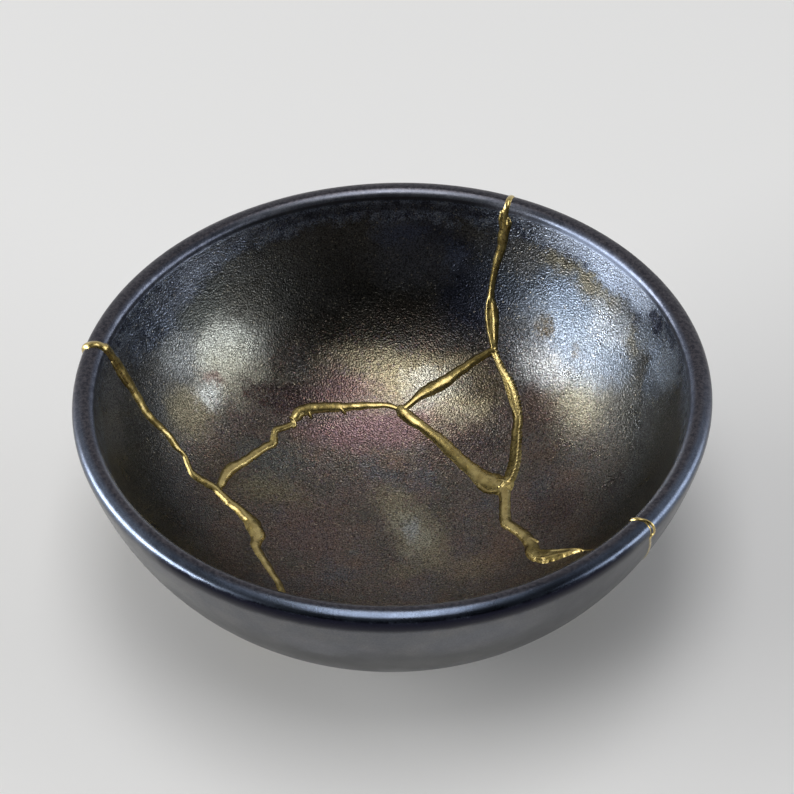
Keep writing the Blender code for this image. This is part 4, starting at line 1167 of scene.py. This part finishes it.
def room_light(tree):
    """A pale room behind the bowl and dim on the viewer's side, with a paler band where the sweep meets the horizon."""
    def node(kind, **settings):
        made = tree.nodes.new(kind)
        for key, value in settings.items():
            setattr(made, key, value)
        return made

    def spread(value, low, high, to_low, to_high):
        made = node("ShaderNodeMapRange", interpolation_type="SMOOTHSTEP")
        tree.links.new(value, made.inputs[0])
        for socket, v in zip(made.inputs[1:5], (low, high, to_low, to_high)):
            socket.default_value = v
        return made.outputs[0]

    def product(one, two):
        made = node("ShaderNodeMath", operation="MULTIPLY")
        tree.links.new(one, made.inputs[0])
        tree.links.new(two, made.inputs[1])
        return made.outputs[0]

    towards = node("ShaderNodeSeparateXYZ")
    tree.links.new(node("ShaderNodeTexCoord").outputs["Generated"], towards.inputs[0])
    back = product(spread(towards.outputs[1], -0.10, 0.50, 0.0, ROOM_BACK), spread(towards.outputs[2], 0.72, 0.94, 1.0, 0.0))
    band = product(spread(towards.outputs[1], -0.25, 0.45, 0.0, ROOM_BAND), spread(towards.outputs[2], 0.04, 0.26, 1.0, 0.0))
    total = node("ShaderNodeMath", operation="MAXIMUM")
    tree.links.new(back, total.inputs[0])
    tree.links.new(band, total.inputs[1])
    lifted = node("ShaderNodeMath", operation="ADD")
    tree.links.new(total.outputs[0], lifted.inputs[0])
    lifted.inputs[1].default_value = ROOM_FRONT
    tree.links.new(lifted.outputs[0], tree.nodes["Background"].inputs["Strength"])
    tree.nodes["Background"].inputs["Color"].default_value = (0.97, 0.98, 1.0, 1.0)


def stage():
    points = [(-3000, -3000, 0), (3000, -3000, 0), (3000, 3000, 0), (-3000, 3000, 0)]
    floor = mesh_from("floor", points, [(0, 1, 2, 3)])
    floor.data.materials.append(floor_material())
    size = (0.50, 0.90)
    area_light("top_softbox", -94, 84, 1.2, size, radiance_power(4.0, size))
    size = (1.90, 0.98)
    area_light("left_softbox", 181, 13, 2.0, size, radiance_power(8.7, size), (1.0, 1.0, 0.985))
    size = (1.86, 1.10)
    area_light("right_softbox", -1, 15, 2.0, size, radiance_power(3.1, size), (0.97, 0.985, 1.0))
    world = bpy.data.worlds.new("room")
    bpy.context.scene.world = world
    world.use_nodes = True
    room_light(world.node_tree)


def camera():
    distance, elevation, roll = 0.600, math.radians(43.4), math.radians(1.44)
    data = bpy.data.cameras.new("camera")
    data.sensor_width, data.lens = 36.0, 133.75
    data.shift_x, data.shift_y = 5.2 / 794, -15.3 / 794
    data.clip_start, data.clip_end = 0.01, 30.0
    made = bpy.data.objects.new("camera", data)
    bpy.context.scene.collection.objects.link(made)
    back = Vector((0, -math.cos(elevation), math.sin(elevation)))
    right, up = Vector((1, 0, 0)), Vector((0, math.sin(elevation), math.cos(elevation)))
    x = right * math.cos(roll) - up * math.sin(roll)
    y = right * math.sin(roll) + up * math.cos(roll)
    turn = Matrix((x, y, back)).transposed().to_4x4()
    made.matrix_world = Matrix.Translation(Vector((0, 0, HEIGHT * MM)) + back * distance) @ turn
    bpy.context.scene.camera = made


shards, fills = make_shards()
seam = make_seam(fills)
glaze, gold = glaze_material(), gold_material()
for piece, node in shards:
    finish_mesh(piece, 38)
    piece.data.materials.clear()
    piece.data.materials.append(glaze)
    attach(piece, "root")
    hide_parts(node)
finish_mesh(seam, 55)
seam.data.materials.clear()
seam.data.materials.append(gold)
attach(seam, "root")
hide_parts("gold_seam")
for made in [s[0] for s in shards] + [seam]:
    made.data.calc_loop_triangles()
    print("piece", made.name, len(made.data.loop_triangles), "triangles")

stage()
camera()
bpy.context.scene.view_settings.view_transform = "Standard"
